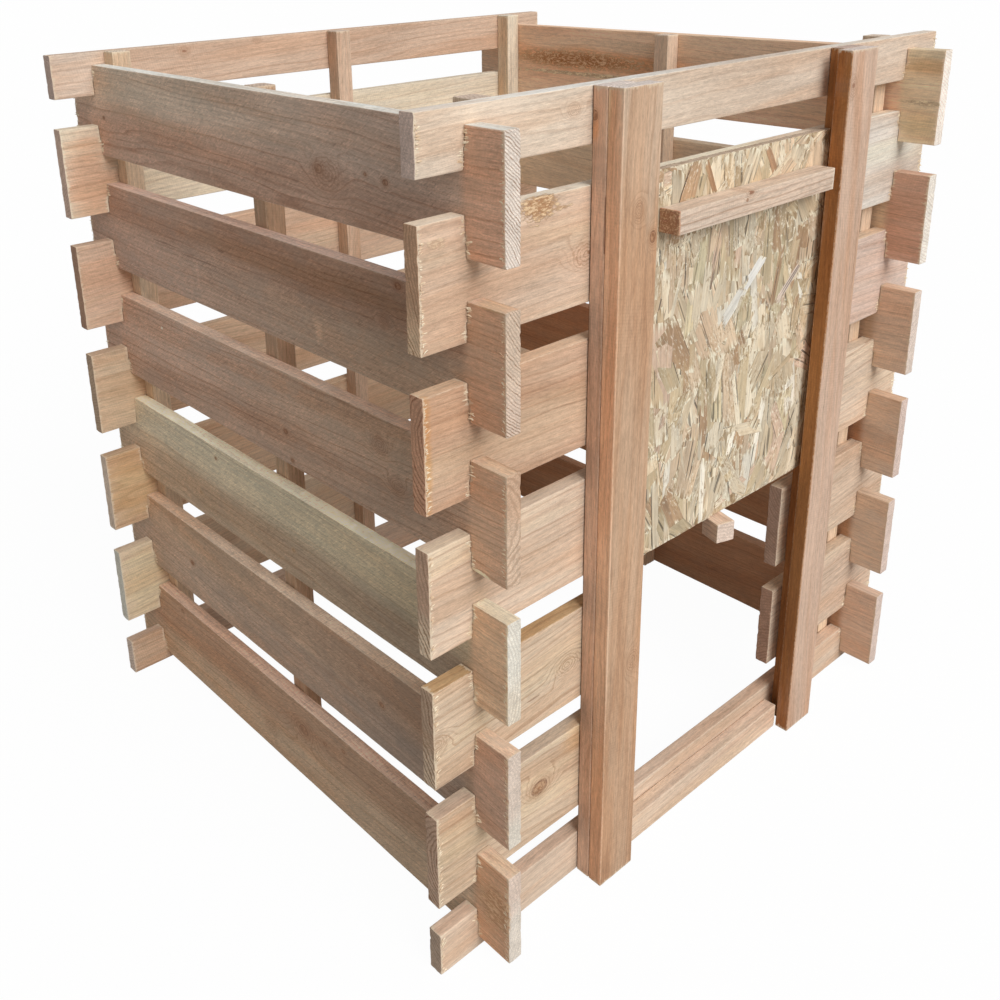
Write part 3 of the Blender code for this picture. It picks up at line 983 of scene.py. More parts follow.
@dataclass
class SideWalls(Assembly):
    """The twelve boards of the left and right walls."""

    wear: Wear = Wear(arris=1.6 * MM, end_rag=1.3 * MM, chip=2.2 * MM)
    # The left boards' front tints paint warm bounced light on their outer faces in front of the front wall,
    # and the tinges at (-449, -470) set the painted light on the top edges there
    left: dict[int, Timber] = field(default_factory=lambda: {
        1: board(LEFT_WALL, (0.58, 0.42, 0.33), 0.34, 6.6, (-0.085, -0.085), 0.03, mottle=0.12,
            end_paleness=0.85, end_lines=(1.1, 1.2), end_pitch=3.3 * MM, end_shift=(0.09, 0.1),
            end_tint=(1.08, 1.06, 1.0), edge_tint=(1.52, 2.05, 2.4), front_tint=(1.29, 1.12, 1.0),
            shades=((0.92, 0.82, 0.76), (1.1, 1.0, 0.94), (1.02, 1.04, 1.05), (1.26, 1.38, 1.35)),
            marks=(knot(-460, -179, 1006, 5.5, SIDE_LAY), knot(-460, -194, 1002, 13, SIDE_LAY, SWIRL),
            knot(-460, -306, 1008, 3.5, SIDE_LAY), knot(-460, -270, 1012, 2, SIDE_LAY),
            knot(-460, 393, 1007, 2.5, SIDE_LAY),
            patch(TINGE, (-460, 75, 962), (8, 6, 8), (1.25, 1.25, 1.25)))),
        2: board(LEFT_WALL, (0.45, 0.275, 0.185), 0.3, 7, (0.12, -0.05), 0.02, warmth=0.2, mottle=0.14,
            end_paleness=0.7, end_lines=(1.1, 0.9), end_pitch=3.5 * MM, end_shift=(-0.04, -0.2),
            end_tint=(1.04, 0.97, 0.83), end_low=(1.09, 1.02, 0.91), edge_tint=(1.82, 2.09, 2.5),
            front_tint=(1.45, 1.46, 1.42),
            shades=((1.16, 1.32, 1.37), (1.3, 1.45, 1.64), (0.94, 0.92, 0.9), (1.17, 1.21, 1.29)),
            marks=(patch(TINGE, (-449, -470, 900), (40, 34, 2.5), (0.82, 0.81, 0.67), 1.0),
            patch(DAB, (-460, 238, 836), (6, 40, 1), (0.2, 0.11, 0.07), 0.5),
            patch(DAB, (-460, 130, 830), (6, 60, 1), (0.2, 0.11, 0.07), 0.5),
            patch(DAB, (-460, 71, 856), (6, 7, 2), (0.2, 0.11, 0.07), 0.6),
            knot(-460, -293, 844, 5, SIDE_LAY, SWIRL), knot(-460, -321, 892, 4, SIDE_LAY),
            patch(TINGE, (-460, -120, 866), (8, 330, 17), (0.84, 0.76, 0.66)),
            patch(TINGE, (-460, -157, 796), (8, 8, 16), (1.25, 1.25, 1.22)),
            patch(TINGE, (-460, 143, 808), (8, 6, 18), (1.18, 1.16, 1.16)))),
        3: board(LEFT_WALL, (0.49, 0.315, 0.215), 0.38, 7.5, (-0.1, -0.06), -0.03, mottle=0.12,
            end_paleness=0.35, end_lines=(0.6, 0.45), end_pitch=9 * MM, end_shift=(-0.1, -0.02),
            end_tint=(1.03, 0.91, 0.76), end_low=(1.15, 1.12, 1.0), edge_tint=(1.83, 2.16, 2.48),
            front_tint=(1.42, 1.44, 1.42),
            shades=((1.06, 1.11, 1.14), (1.21, 1.22, 1.28), (1.15, 1.22, 1.23), (1.44, 1.54, 1.7)),
            marks=(patch(TINGE, (-449, -470, 715), (40, 34, 2.5), (0.87, 0.91, 0.86), 1.0),
            patch(DAB, (-460, 279, 690), (6, 4, 3), (0.93, 0.84, 0.7)),
            patch(DAB, (-461, -448, 577), (4, 24, 3.4), (0.98, 0.9, 0.66), 1.0),
            knot(-460, -273, 677, 8, SIDE_LAY, SWIRL), knot(-460, -305, 633, 7, SIDE_LAY, SWIRL),
            knot(-460, -61, 625, 3.5, SIDE_LAY), knot(-460, -73, 585, 2.5, SIDE_LAY))),
        4: board(LEFT_WALL, (0.78, 0.63, 0.44), 0.3, 8, (-0.11, -0.075), 0.02, warmth=0.2, mottle=0.1,
            end_paleness=0.5, end_lines=(0.45, 0.35), end_shift=(-0.11, 0.07), end_tint=(0.94, 1.02, 1.1),
            end_low=(0.9, 0.92, 0.93), edge_tint=(1.44, 1.72, 1.95), front_tint=(1.05, 0.92, 0.88),
            shades=((0.61, 0.56, 0.56), (0.83, 0.74, 0.71), (0.87, 0.91, 0.9), (1.06, 1.13, 1.17)),
            marks=(patch(TINGE, (-449, -470, 530), (40, 34, 2.5), (0.7, 0.67, 0.66), 1.0),
            knot(-460, 147, 510, 2.5, SIDE_LAY), knot(-460, 207, 428, 2.5, SIDE_LAY),
            knot(-460, -57, 436, 2.5, SIDE_LAY))),
        5: board(LEFT_WALL, (0.65, 0.46, 0.335), 0.24, 8, (-0.12, 0.03), 0.05, mottle=0.14, weather=0.4,
            end_paleness=0.45, end_lines=(0.25, 0.25), end_shift=(-0.12, 0.16), end_tint=(0.92, 0.95, 0.95),
            end_low=(0.98, 1.11, 1.13), edge_tint=(1.36, 1.5, 1.6), front_tint=(1.02, 0.94, 0.93),
            shades=((0.77, 0.8, 0.84), (0.95, 0.95, 0.94), (0.77, 0.72, 0.68), (0.96, 0.92, 0.84)),
            marks=(knot(-460, 267, 271, 4, SIDE_LAY), knot(-460, -249, 279, 3.5, SIDE_LAY),
            knot(-460, 323, 331, 6, SIDE_LAY, SWIRL),
            patch(TINGE, (-460, -65, 279), (8, 30, 8), (1.22, 1.22, 1.2)))),
        6: board(LEFT_WALL, (0.64, 0.45, 0.325), 0.32, 8.5, (0.1, -0.05), -0.03, mottle=0.14, weather=0.25,
            end_paleness=0.6, end_lines=(0.25, 0.25), end_shift=(0.1, 0.09), end_tint=(0.92, 0.89, 0.86),
            end_low=(0.97, 1.05, 1.05), edge_tint=(1.46, 1.52, 1.63), front_tint=(1.16, 1.02, 0.9),
            shades=((1.04, 1.1, 1.06), (1.11, 1.08, 0.97), (0.77, 0.7, 0.63), (0.88, 0.77, 0.68)),
            marks=(patch(TINGE, (-449, -470, 160), (40, 34, 2.5), (0.85, 0.87, 0.8), 1.0),
            knot(-460, -45, 114, 8, SIDE_LAY), knot(-460, -40, 112, 15, SIDE_LAY, SWIRL),
            knot(-460, -101, 122, 3, SIDE_LAY), knot(-460, 55, 62, 9, SIDE_LAY, SWIRL),
            knot(-460, 327, 146, 3.5, SIDE_LAY), knot(-460, -149, 138, 3, SIDE_LAY),
            patch(TORN, (-460, -470, 92), (6, 36, 40), (0.7, 0.36, 0.17), 0.6))),
    })
    # The right boards' dark tones inside the bin carry painted shade, and their strong front tints paint the
    # light back on where they stand in front of the front wall
    right: dict[int, Timber] = field(default_factory=lambda: {
        1: board(RIGHT_WALL, (0.98, 0.68, 0.49), 0.2, 7, (-0.06, -0.06), 0.03, cream=0.3, mottle=0.14,
            weather=0.15, end_paleness=0.9, end_tint=(0.98, 1.04, 1.04), front_tint=(0.92, 1.05, 1.03),
            marks=(patch(TINGE, (438, 190, 1026), (8, 300, 24), (0.92, 0.68, 0.48)),
            patch(TORN, (438, 225, 1026), (6, 200, 20), (0.6, 0.22, 0.07), 0.95),
            patch(TORN, (438, 200, 1000), (6, 215, 5), (0.95, 0.8, 0.56), 0.9),
            patch(TORN, (438, -115, 1010), (6, 90, 24), (0.52, 0.2, 0.07), 0.95),
            patch(TINGE, (438, -470, 1062), (6, 40, 14), (0.86, 0.76, 0.64)),
            patch(TINGE, (438, -470, 975), (6, 40, 26), (0.9, 0.8, 0.68)),
            patch(TORN, (438, -470, 1008), (6, 40, 5), (1.0, 0.88, 0.64), 0.95))),
        2: board(RIGHT_WALL, (0.79, 0.63, 0.46), 0.22, 7, (0.1, 0.05), 0.04, end_paleness=0.8,
            end_tint=(1.0, 1.02, 1.02), front_tint=(0.91, 0.72, 0.72)),
        3: board(RIGHT_WALL, (0.62, 0.42, 0.28), 0.22, 7.4, (-0.08, 0.05), -0.04,
            front_tint=(1.3, 1.4, 1.55)),
        4: board(RIGHT_WALL, (0.52, 0.275, 0.155), 0.22, 6.8, (0.02, -0.07), 0.02,
            front_tint=(1.5, 2.1, 2.75)),
        5: board(RIGHT_WALL, (0.54, 0.3, 0.17), 0.22, 7.2, (-0.11, 0.04), 0.05, front_tint=(1.49, 2, 2.6)),
        6: board(RIGHT_WALL, (0.53, 0.3, 0.178), 0.22, 7, (0.08, -0.05), -0.03,
            front_tint=(1.48, 1.87, 2.35)),
    })

    def build(self) -> None:
        """Saws and dresses every board."""
        for side, timbers in (("left", self.left), ("right", self.right)):
            for course, timber in timbers.items():
                self.saw(f"{side}_board_{course}", SIDE_LAY, timber, self.wear, crossing=END_BOARDS)


@dataclass
class EndWalls(Assembly):
    """The boards, half boards and stubs of the front and back walls."""

    wear: Wear = Wear(arris=1.5 * MM, end_rag=1.6 * MM, chip=2.2 * MM)
    front: dict[str, Timber] = field(default_factory=lambda: {
        "front_board_top": board(FRONT_WALL, (0.73, 0.59, 0.47), 0.17, 11, (-0.1, -0.05), 0.05, flecks=0.7,
            end_lines=(0.3, 0.25), end_shift=(-0.02, 0.16), end_tint=(0.79, 0.71, 0.71),
            edge_tint=(1.2, 1.41, 1.62), shades=((1.03, 1.06, 1.06), (0.93, 0.93, 0.93)) * 2,
            marks=(patch(TINGE, (0, -430, 1072), (150, 40, 70), (0.91, 0.88, 0.86), 0.9),
            knot(-297, -436, 1080, 5, END_LAY, SWIRL),
            patch(TINGE, (250, -425, 1105), (330, 40, 2.5), (0.92, 0.92, 0.91)))),
        "front_board_1": board(FRONT_WALL, (0.7, 0.53, 0.4), 0.19, 13, (-0.12, -0.05), 0.06, cream=0.4,
            end_lines=(1.2, 0.7), end_shift=(-0.2, 0.12), end_tint=(0.76, 0.58, 0.44),
            end_low=(1.05, 0.93, 0.75), edge_tint=(1.26, 1.48, 1.62),
            marks=(knot(-273, -436, 913, 11, END_LAY, SWIRL),
            # painted light: brighter and bluer on the part right of the right post
            patch(TINGE, (400, -436, 923), (150, 9, 130), (1.01, 1.21, 1.42), 1.0),
            patch(TORN, (-350, -436, 984), (36, 9, 22), (0.8, 0.5, 0.28), 1.0),
            patch(TORN, (-318, -436, 976), (20, 9, 4), (0.8, 0.56, 0.34), 0.8),
            patch(DAB, (-267, -437, 915), (5, 6, 2.5), (0.44, 0.23, 0.12), 0.75),
            patch(TORN, (-500, -436, 971), (14, 9, 7), (0.86, 0.66, 0.46), 0.5))),
        "front_board_2": board(FRONT_WALL, (0.65, 0.45, 0.32), 0.24, 9, (0.12, -0.06), -0.05, cream=0.2,
            end_lines=(1.1, 0.9), end_pitch=6 * MM, end_shift=(0.12, 0.0), end_tint=(0.78, 0.57, 0.45),
            end_low=(0.88, 0.64, 0.5), edge_tint=(1.18, 1.27, 1.28),
            shades=((0.94, 0.92, 0.89), (1.05, 1.18, 1.4)) * 2,
            marks=(patch(TINGE, (-523, -436, 738), (9, 12, 100), (1.05, 0.9, 0.66), 1.0),)),
        "front_board_3": board(FRONT_WALL, (0.71, 0.56, 0.43), 0.32, 14, (-0.13, -0.03), 0.03, cream=0.4,
            end_lines=(1.7, 0.7), end_pitch=7 * MM, end_shift=(-0.23, 0.14), end_tint=(0.77, 0.61, 0.51),
            end_low=(1.12, 1.06, 0.93), edge_tint=(0.95, 0.95, 0.96)),
        "front_stub_left_4": board(FRONT_WALL, (0.65, 0.51, 0.375), 0.34, 11, (0.12, -0.05), 0.05,
            sap_from=0.205, cream=0.5, end_lines=(1.7, 1.0), end_pitch=7 * MM, end_shift=(0.02, 0.12),
            end_tint=(0.74, 0.62, 0.53), end_low=(1.0, 0.92, 0.82), edge_tint=(0.87, 0.77, 0.58),
            marks=(knot(-294, -436, 361, 10, END_LAY, SWIRL), knot(-520, -436, 363, 8, END_LAY, SWIRL),
            patch(DAB, (-355, -437, 341), (13, 6, 1.3), (0.25, 0.13, 0.08), 0.6))),
        "front_stub_left_5": board(FRONT_WALL, (0.64, 0.5, 0.365), 0.3, 12, (-0.1, -0.06), -0.05, cream=0.5,
            end_lines=(1.2, 1.0), end_pitch=6 * MM, end_shift=(-0.1, -0.02), end_tint=(0.78, 0.63, 0.55),
            end_low=(0.86, 0.72, 0.64), edge_tint=(0.98, 0.97, 1.03),
            marks=(knot(-345, -436, 192, 10, END_LAY),
            patch(TINGE, (-260, -436, 235), (40, 12, 26), (1.05, 0.92, 0.74), 0.9),
            patch(TINGE, (-495, -436, 180), (34, 12, 90), (0.93, 0.88, 0.84), 0.9),
            patch(DAB, (-345, -437, 192), (3, 6, 2.2), (0.36, 0.17, 0.08), 0.7))),
        "front_board_bottom": board(FRONT_WALL, (0.66, 0.52, 0.4), 0.18, 12, (0.09, -0.05), 0.04,
            end_lines=(0.6, 0.6), end_tint=(0.69, 0.62, 0.56), edge_tint=(1.14, 1.08, 1.06)),
        "front_stub_right_4": board(FRONT_WALL, (0.63, 0.48, 0.36), 0.24, 10, (0.1, -0.06), 0.05, cream=0.3,
            mottle=0.2, end_tint=(0.72, 0.58, 0.52)),
        "front_stub_right_5": board(FRONT_WALL, (0.65, 0.49, 0.37), 0.24, 11, (-0.11, -0.05), 0.05,
            cream=0.3, mottle=0.2, end_tint=(0.72, 0.54, 0.46)),
    })
    back: dict[str, Timber] = field(default_factory=lambda: {
        # Each back board's tinge at x -484 paints light and shade on its left end, where the left wall's
        # overhang shades it
        "back_board_top": board(BACK_WALL, (0.67, 0.49, 0.365), 0.24, 8, (-0.08, 0.06), 0.05,
            end_tint=(0.76, 0.72, 0.74),
            marks=(patch(TINGE, (-484, 414, 1072), (60, 12, 60), (1.0, 1.1, 1.2), 1.0),
            knot(-299, 414, 1093, 5, END_LAY, SWIRL), knot(-160, 414, 1100, 4, END_LAY, SWIRL),
            patch(DAB, (-299, 413, 1093), (4, 6, 2), (0.34, 0.15, 0.08), 0.7))),
        "back_board_1": board(BACK_WALL, (0.78, 0.69, 0.55), 0.24, 8, (0.09, 0.06), 0.03, warmth=0.1,
            cream=0.4, end_tint=(0.8, 0.63, 0.59),
            marks=(patch(TINGE, (-484, 414, 905), (52, 12, 84), (0.92, 0.68, 0.58), 1.0),)),
        "back_board_2": board(BACK_WALL, (0.66, 0.47, 0.34), 0.2, 8.4, (-0.1, 0.05), 0.04, cream=0.3,
            end_tint=(0.55, 0.42, 0.345),
            marks=(patch(TINGE, (-484, 414, 738), (52, 12, 84), (1.08, 1.07, 1.09), 1.0),)),
        "back_board_3": board(BACK_WALL, (0.68, 0.49, 0.34), 0.2, 8.8, (0.1, 0.05), -0.04,
            end_tint=(0.62, 0.56, 0.49),
            marks=(patch(TINGE, (-484, 414, 552), (52, 12, 84), (1.01, 1.08, 1.09), 1.0),)),
        "back_board_4": board(BACK_WALL, (0.68, 0.5, 0.35), 0.2, 8.2, (0.01, 0.07), 0.02, cream=0.3,
            marks=(patch(TINGE, (-484, 414, 367), (52, 12, 84), (0.96, 0.9, 0.74), 1.0),)),
        "back_board_5": board(BACK_WALL, (0.72, 0.57, 0.42), 0.2, 8.6, (-0.1, 0.04), 0.05,
            end_tint=(0.92, 1.05, 1.12),
            marks=(patch(TINGE, (-484, 414, 181), (52, 12, 84), (1.09, 1.15, 1.06), 1.0),)),
        "back_board_bottom": board(BACK_WALL, (0.66, 0.49, 0.37), 0.2, 8.6, (0.08, 0.05), -0.04,
            marks=(patch(TINGE, (-484, 414, 33), (52, 12, 60), (0.97, 0.91, 0.83), 1.0),)),
    })

    def build(self) -> None:
        """Saws and dresses every board."""
        for node, timber in (*self.front.items(), *self.back.items()):
            self.saw(node, END_LAY, timber, self.wear, crossing=SIDE_BOARDS)


@dataclass
class InnerBattens(Assembly):
    """The square uprights inside the walls."""

    wear: Wear = Wear(arris=1.3 * MM, face_sway=0.25 * MM, edge_sway=0.25 * MM, end_rag=0.8 * MM, chip=MM)
    timbers: dict[str, Timber] = field(default_factory=lambda: {
        "corner_batten_back_left": board(UPRIGHT, (0.72, 0.56, 0.4), 0.16, 6, (0.03, -0.03), 0.01,
            cream=0.5),
        "corner_batten_back_right": board(UPRIGHT, (0.84, 0.73, 0.57), 0.1, 9, (0.04, 0.02), 0.01,
            warmth=0.4, marks=(patch(TINGE, (407.7, 399, 560), (2.4, 40, 1200), (1.0, 0.93, 0.86), 1.0),
            patch(DAB, (416, 384, 1000), (0.7, 4, 60), (0.34, 0.2, 0.12), 0.7))),
        "corner_batten_front_left": board(UPRIGHT, (0.64, 0.46, 0.33), 0.16, 6.6, (-0.03, 0.03), -0.01),
        "corner_batten_front_right": board(UPRIGHT, (0.72, 0.54, 0.39), 0.16, 6.4, (0.03, 0.03), 0.01,
            cream=0.3),
        "mid_batten_back": board(UPRIGHT, (0.66, 0.48, 0.35), 0.16, 8.6, (-0.02, -0.04), 0.02),
        "mid_batten_left": board(UPRIGHT, (0.58, 0.4, 0.27), 0.18, 6.4, (0.03, -0.03), 0.01, weather=0.2),
        "mid_batten_right": board(UPRIGHT, (0.74, 0.55, 0.41), 0.14, 7.4, (0.03, -0.02), 0.01, cream=0.3),
    })

    def build(self) -> None:
        """Saws and dresses every upright."""
        for node, timber in self.timbers.items():
            self.saw(node, UPRIGHT_LAY, timber, self.wear, slot=Slot.SAPWOOD)


@dataclass
class Guides(Assembly):
    """The two posts that hold the hatch, and the strip across the threshold."""

    wear: Wear = Wear(arris=1.4 * MM, face_sway=0.25 * MM, edge_sway=0.35 * MM, end_rag=0.7 * MM, chip=MM)
    timbers: dict[str, Timber] = field(default_factory=lambda: {
        "guide_cover_left": board(UPRIGHT, (0.57, 0.38, 0.25), 0.26, 8, (-0.012, -0.05), 0.03,
            sap_from=0.074, sap=(0.74, 0.53, 0.33), warmth=0.4, mottle=0.15, end_paleness=0.9,
            shades=((0.7, 0.68, 0.67), WHITE) * 2, marks=(knot(-209, -481, 930, 5, UPRIGHT_LAY),
            knot(-216, -481, 353, 8, UPRIGHT_LAY, SWIRL), knot(-236, -481, 965, 6, UPRIGHT_LAY, SWIRL),
            patch(TINGE, (-234, -481, 1075), (60, 9, 120), (1.14, 1.26, 1.38)),
            # painted light on the left cover's left side face
            patch(TINGE, (-268, -470, 560), (2.4, 30, 1200), (1.5, 1.5, 1.55), 1.0))),
        "guide_cover_right": board(UPRIGHT, (0.62, 0.44, 0.33), 0.15, 8, (0.02, -0.05), -0.03, warmth=0.4,
            mottle=0.15, end_paleness=0.7, shades=((0.82, 0.82, 0.82), WHITE) * 2,
            marks=(patch(DAB, (261, -481, 800), (0.8, 6, 70), (0.3, 0.16, 0.1), 0.6),
            patch(DAB, (210, -481, 1058), (3.5, 6, 3.5), (0.32, 0.16, 0.1), 0.8),
            knot(210, -481, 1056, 7, UPRIGHT_LAY, SWIRL),
            # painted shade on the right cover's left side face, beside the panel
            patch(TINGE, (200, -470, 560), (2.4, 30, 1200), (0.66, 0.4, 0.18), 1.0))),
        "guide_spacer_left": board(UPRIGHT, (0.7, 0.49, 0.365), 0.2, 7, (0.05, -0.03), 0.01,
            end_paleness=0.8, marks=(knot(-268, -440, 1072, 4, SPACER_LAY),
            patch(TINGE, (-268, -440, 1058), (6, 6, 16), (0.96, 0.74, 0.54), 0.8),
            # painted shadow: a thin dark line down the spacer's face at the seam with the front boards
            patch(DAB, (-268, -437, 560), (6, 0.9, 900), (0.14, 0.06, 0.03), 0.9),
            patch(DAB, (-268, -458, 950), (6, 1.6, 40), (0.25, 0.11, 0.06), 0.7))),
        "guide_spacer_right": board(UPRIGHT, (0.4, 0.17, 0.058), 0.2, 6, (-0.05, 0.03), 0.01, warmth=0.2,
            end_paleness=0.6),
        "threshold_strip": board(UPRIGHT, (0.73, 0.55, 0.425), 0.16, 8.6, (-0.05, -0.04), 0.03, cream=0.3),
    })

    def build(self) -> None:
        """Saws and dresses the posts and the strip."""
        for node, timber in self.timbers.items():
            lay = END_LAY if node == "threshold_strip" else UPRIGHT_LAY
            self.saw(node, lay, timber, self.wear)


@dataclass(frozen=True)
class NamedFlake:
    """A strand that is seen singly on the panel's front, from one end to the other, mm."""

    start: tuple[float, float]
    end: tuple[float, float]
    width: float
    tint: Colour


@dataclass
class Hatch(Assembly):
    """The strand-board panel with its handle and the block under its lower edge."""

    strands: int = 560
    skin: float = 0.75 * MM
    edge_band: float = 1.2 * MM
    wear: Wear = Wear(arris=1.0 * MM, face_sway=0.2 * MM, edge_sway=0.3 * MM, end_rag=1.0 * MM, chip=MM)
    panel_wear: Wear = Wear(0.4 * MM, 0.3 * MM, 0.05 * MM, 0.25 * MM, 0.2 * MM, 0.3 * MM)
    handle: Timber = board(UPRIGHT, (0.73, 0.59, 0.475), 0.52, 7.5, (-0.06, 0.012), 0.02, wander=0.5,
        warmth=0.15, marks=(knot(-12, -479, 948, 4, END_LAY, SWIRL),
        patch(DAB, (-11, -480, 949), (6, 6, 3), (0.3, 0.13, 0.07)),
        patch(DAB, (-20, -480, 940), (2.5, 5, 2.5), (0.36, 0.18, 0.1), 0.8),
        patch(DAB, (-160, -464, 935), (5, 40, 40), (0.64, 0.33, 0.21), 0.9),
        patch(TORN, (-160, -464, 935), (5, 40, 40), (0.46, 0.18, 0.08), 0.8)))
    block: Timber = board(UPRIGHT, (0.76, 0.57, 0.44), 0.4, 6, (-0.02, -0.06), 0.0, warmth=0.1,
        end_lines=(0.36, 0.36), end_pitch=6 * MM)
    block_size: Place = (0.030, 0.034, 0.030)
    block_turn: float = math.radians(-16.0)
    tints: tuple[Colour, ...] = (
        (0.71, 0.60, 0.44), (0.68, 0.55, 0.38), (0.60, 0.48, 0.31), (0.64, 0.49, 0.34), (0.76, 0.66, 0.50),
        (0.55, 0.42, 0.27), (0.67, 0.49, 0.36), (0.85, 0.78, 0.65), (0.46, 0.30, 0.18), (0.62, 0.52, 0.34))
    tint_shares: tuple[float, ...] = (0.17, 0.16, 0.10, 0.15, 0.12, 0.10, 0.06, 0.05, 0.05, 0.04)
    bright_above: float = 0.94
    # painted light: where along x the strands brighten towards the right post
    lit_beside_post: tuple[float, float] = (0.176, 0.201)
    flakes: tuple[NamedFlake, ...] = (
        NamedFlake((-14, 764), (34, 806), 21, (0.80, 0.76, 0.68)),
        NamedFlake((26, 798), (76, 842), 18, (0.86, 0.83, 0.77)),
        NamedFlake((112, 762), (186, 826), 14, (0.74, 0.60, 0.50)),
        NamedFlake((-72, 800), (-30, 722), 44, (0.64, 0.47, 0.32)),
        NamedFlake((168, 800), (182, 756), 13, (0.92, 0.88, 0.76)),
        NamedFlake((-69, 994), (-46, 948), 11, (0.42, 0.24, 0.13)),
        NamedFlake((63, 993), (87, 955), 13, (0.44, 0.26, 0.15)),
        NamedFlake((-63, 897), (-70, 830), 20, (0.62, 0.54, 0.36)),
        NamedFlake((2, 872), (19, 803), 4, (0.30, 0.19, 0.10)))

    def strand_frames(self, front: bool) -> tuple[np.ndarray, ...]:
        """Centres, half lengths, half widths, turns from upright and tints of one face's strands."""
        random = np.random.default_rng(seed_of("strands_front" if front else "strands_back"))
        low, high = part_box("hatch_panel")
        centre = np.stack([random.uniform(low.x, high.x, self.strands),
                           random.uniform(low.z, high.z, self.strands)], 1)
        half_length = random.uniform(0.032, 0.070, self.strands)
        half_width = np.clip(random.lognormal(math.log(0.0115), 0.55, self.strands), 0.0025, 0.026)
        turn = random.normal(0.0, math.radians(15), self.strands)
        stray = random.random(self.strands) < 0.12
        turn[stray] = random.uniform(-math.pi / 2, math.pi / 2, stray.sum())
        picked = random.choice(len(self.tints), self.strands, p=np.array(self.tint_shares))
        tint = np.array(self.tints)[picked] * random.uniform(0.80, 1.20, (self.strands, 1))
        tint = tint * np.where(centre[:, 1:] > self.bright_above, 1.10, 1.0)
        if front:
            starts = np.array([flake.start for flake in self.flakes]) * MM
            ends = np.array([flake.end for flake in self.flakes]) * MM
            run = ends - starts
            centre = np.concatenate([centre, (starts + ends) / 2])
            half_length = np.concatenate([half_length, np.linalg.norm(run, axis=1) / 2])
            half_width = np.concatenate([half_width, [flake.width * MM / 2 for flake in self.flakes]])
            turn = np.concatenate([turn, np.arctan2(run[:, 0], run[:, 1])])
            tint = np.concatenate([tint, [flake.tint for flake in self.flakes]])
        return centre, half_length, half_width, turn, tint

    def strand_skin(self, front: bool) -> bpy.types.Object:
        """All strands of one face as closed thin lenses in one mesh.

        Each strand is a 5 by 5 grid over (u, v) from -1 to 1. Its edge rows lie half a millimetre
        lower, its ends are cut aslant, and it leans a little, so neighbours dip under each other.
        Its underside is one face round the grid's border. Places past the panel's edge are pressed
        into the last band before it.
        """
        centre, half_length, half_width, turn, tint = self.strand_frames(front)
        count = len(centre)
        random = np.random.default_rng(seed_of("lean") + front)
        marks = np.array([-1.0, -0.90, 0.0, 0.90, 1.0])
        u, v = (side.ravel() for side in np.meshgrid(marks, marks, indexing="ij"))
        slant = random.uniform(-0.35, 0.35, (count, 1)) * half_width[:, None] / half_length[:, None] * 2
        taper = 1 - random.uniform(0, 0.35, (count, 1)) * (0.5 + 0.5 * u * random.choice([-1, 1], (count, 1)))
        long = (u + slant * v * u) * half_length[:, None]
        wide = v * taper * half_width[:, None] + random.uniform(-0.12, 0.12, (count, 1)) * (
            1 - u * u) * half_width[:, None]
        sine, cosine = np.sin(turn)[:, None], np.cos(turn)[:, None]
        x = centre[:, :1] + long * sine + wide * cosine
        z = centre[:, 1:] + long * cosine - wide * sine
        low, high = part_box("hatch_panel")
        x, z = self.pressed(x, low.x, high.x), self.pressed(z, low.z, high.z)
        depth = random.uniform(0.10, 0.62, (count, 1)) * MM
        if front:
            depth[-len(self.flakes):] = 0.06 * MM
        depth = depth + random.uniform(-0.25, 0.25, (count, 1)) * MM * u + random.uniform(
            -0.08, 0.08, (count, 1)) * MM * v
        depth = np.clip(depth, 0.02 * MM, 0.9 * MM)
        edge = np.maximum(np.abs(u), np.abs(v)) > 0.95
        depth = depth + np.where(edge, 0.5 * MM, 0.0)
        y = low.y + depth if front else high.y - depth
        points = np.stack([x, y, z], axis=2).reshape(-1, 3)
        first = np.arange(20).reshape(4, 5)[:, :4].reshape(-1, 1)
        cell = first + np.array([0, 1, 6, 5])
        border = [0, 5, 10, 15, 20, 21, 22, 23, 24, 19, 14, 9, 4, 3, 2, 1]
        shifts = np.arange(count) * 25
        quads = (cell[None] + shifts[:, None, None]).reshape(-1, 4)
        under = np.array(border)[None] + shifts[:, None]
        way = 1 if front else -1
        faces = quads[:, ::way].tolist() + under[:, ::way].tolist()
        piece = mesh_object("panel_strands_front" if front else "panel_strands_back", points, faces, False)
        shade = np.concatenate([np.repeat(tint, 25, axis=0), np.ones((count * 25, 1))], axis=1)
        add_attribute(piece, "tint", shade)
        key = np.repeat(np.arange(count) * 0.37, 25)
        lay = np.stack([long.ravel(), wide.ravel(), key], axis=1)
        add_attribute(piece, "lay", lay)
        border = np.stack([np.tile(np.abs(u), count), np.tile(np.abs(v), count), key], axis=1)
        add_attribute(piece, "border", border)
        return piece

    def pressed(self, values: np.ndarray, low: float, high: float) -> np.ndarray:
        """Values squeezed into the range: past the band they near the limit as 1 - e^-x."""
        band = self.edge_band
        over = np.maximum(values - (high - band), 0)
        under = np.maximum((low + band) - values, 0)
        values = np.where(over > 0, high - band + band * (1 - np.exp(-over / (12 * MM))), values)
        return np.where(under > 0, low + band - band * (1 - np.exp(-under / (12 * MM))), values)

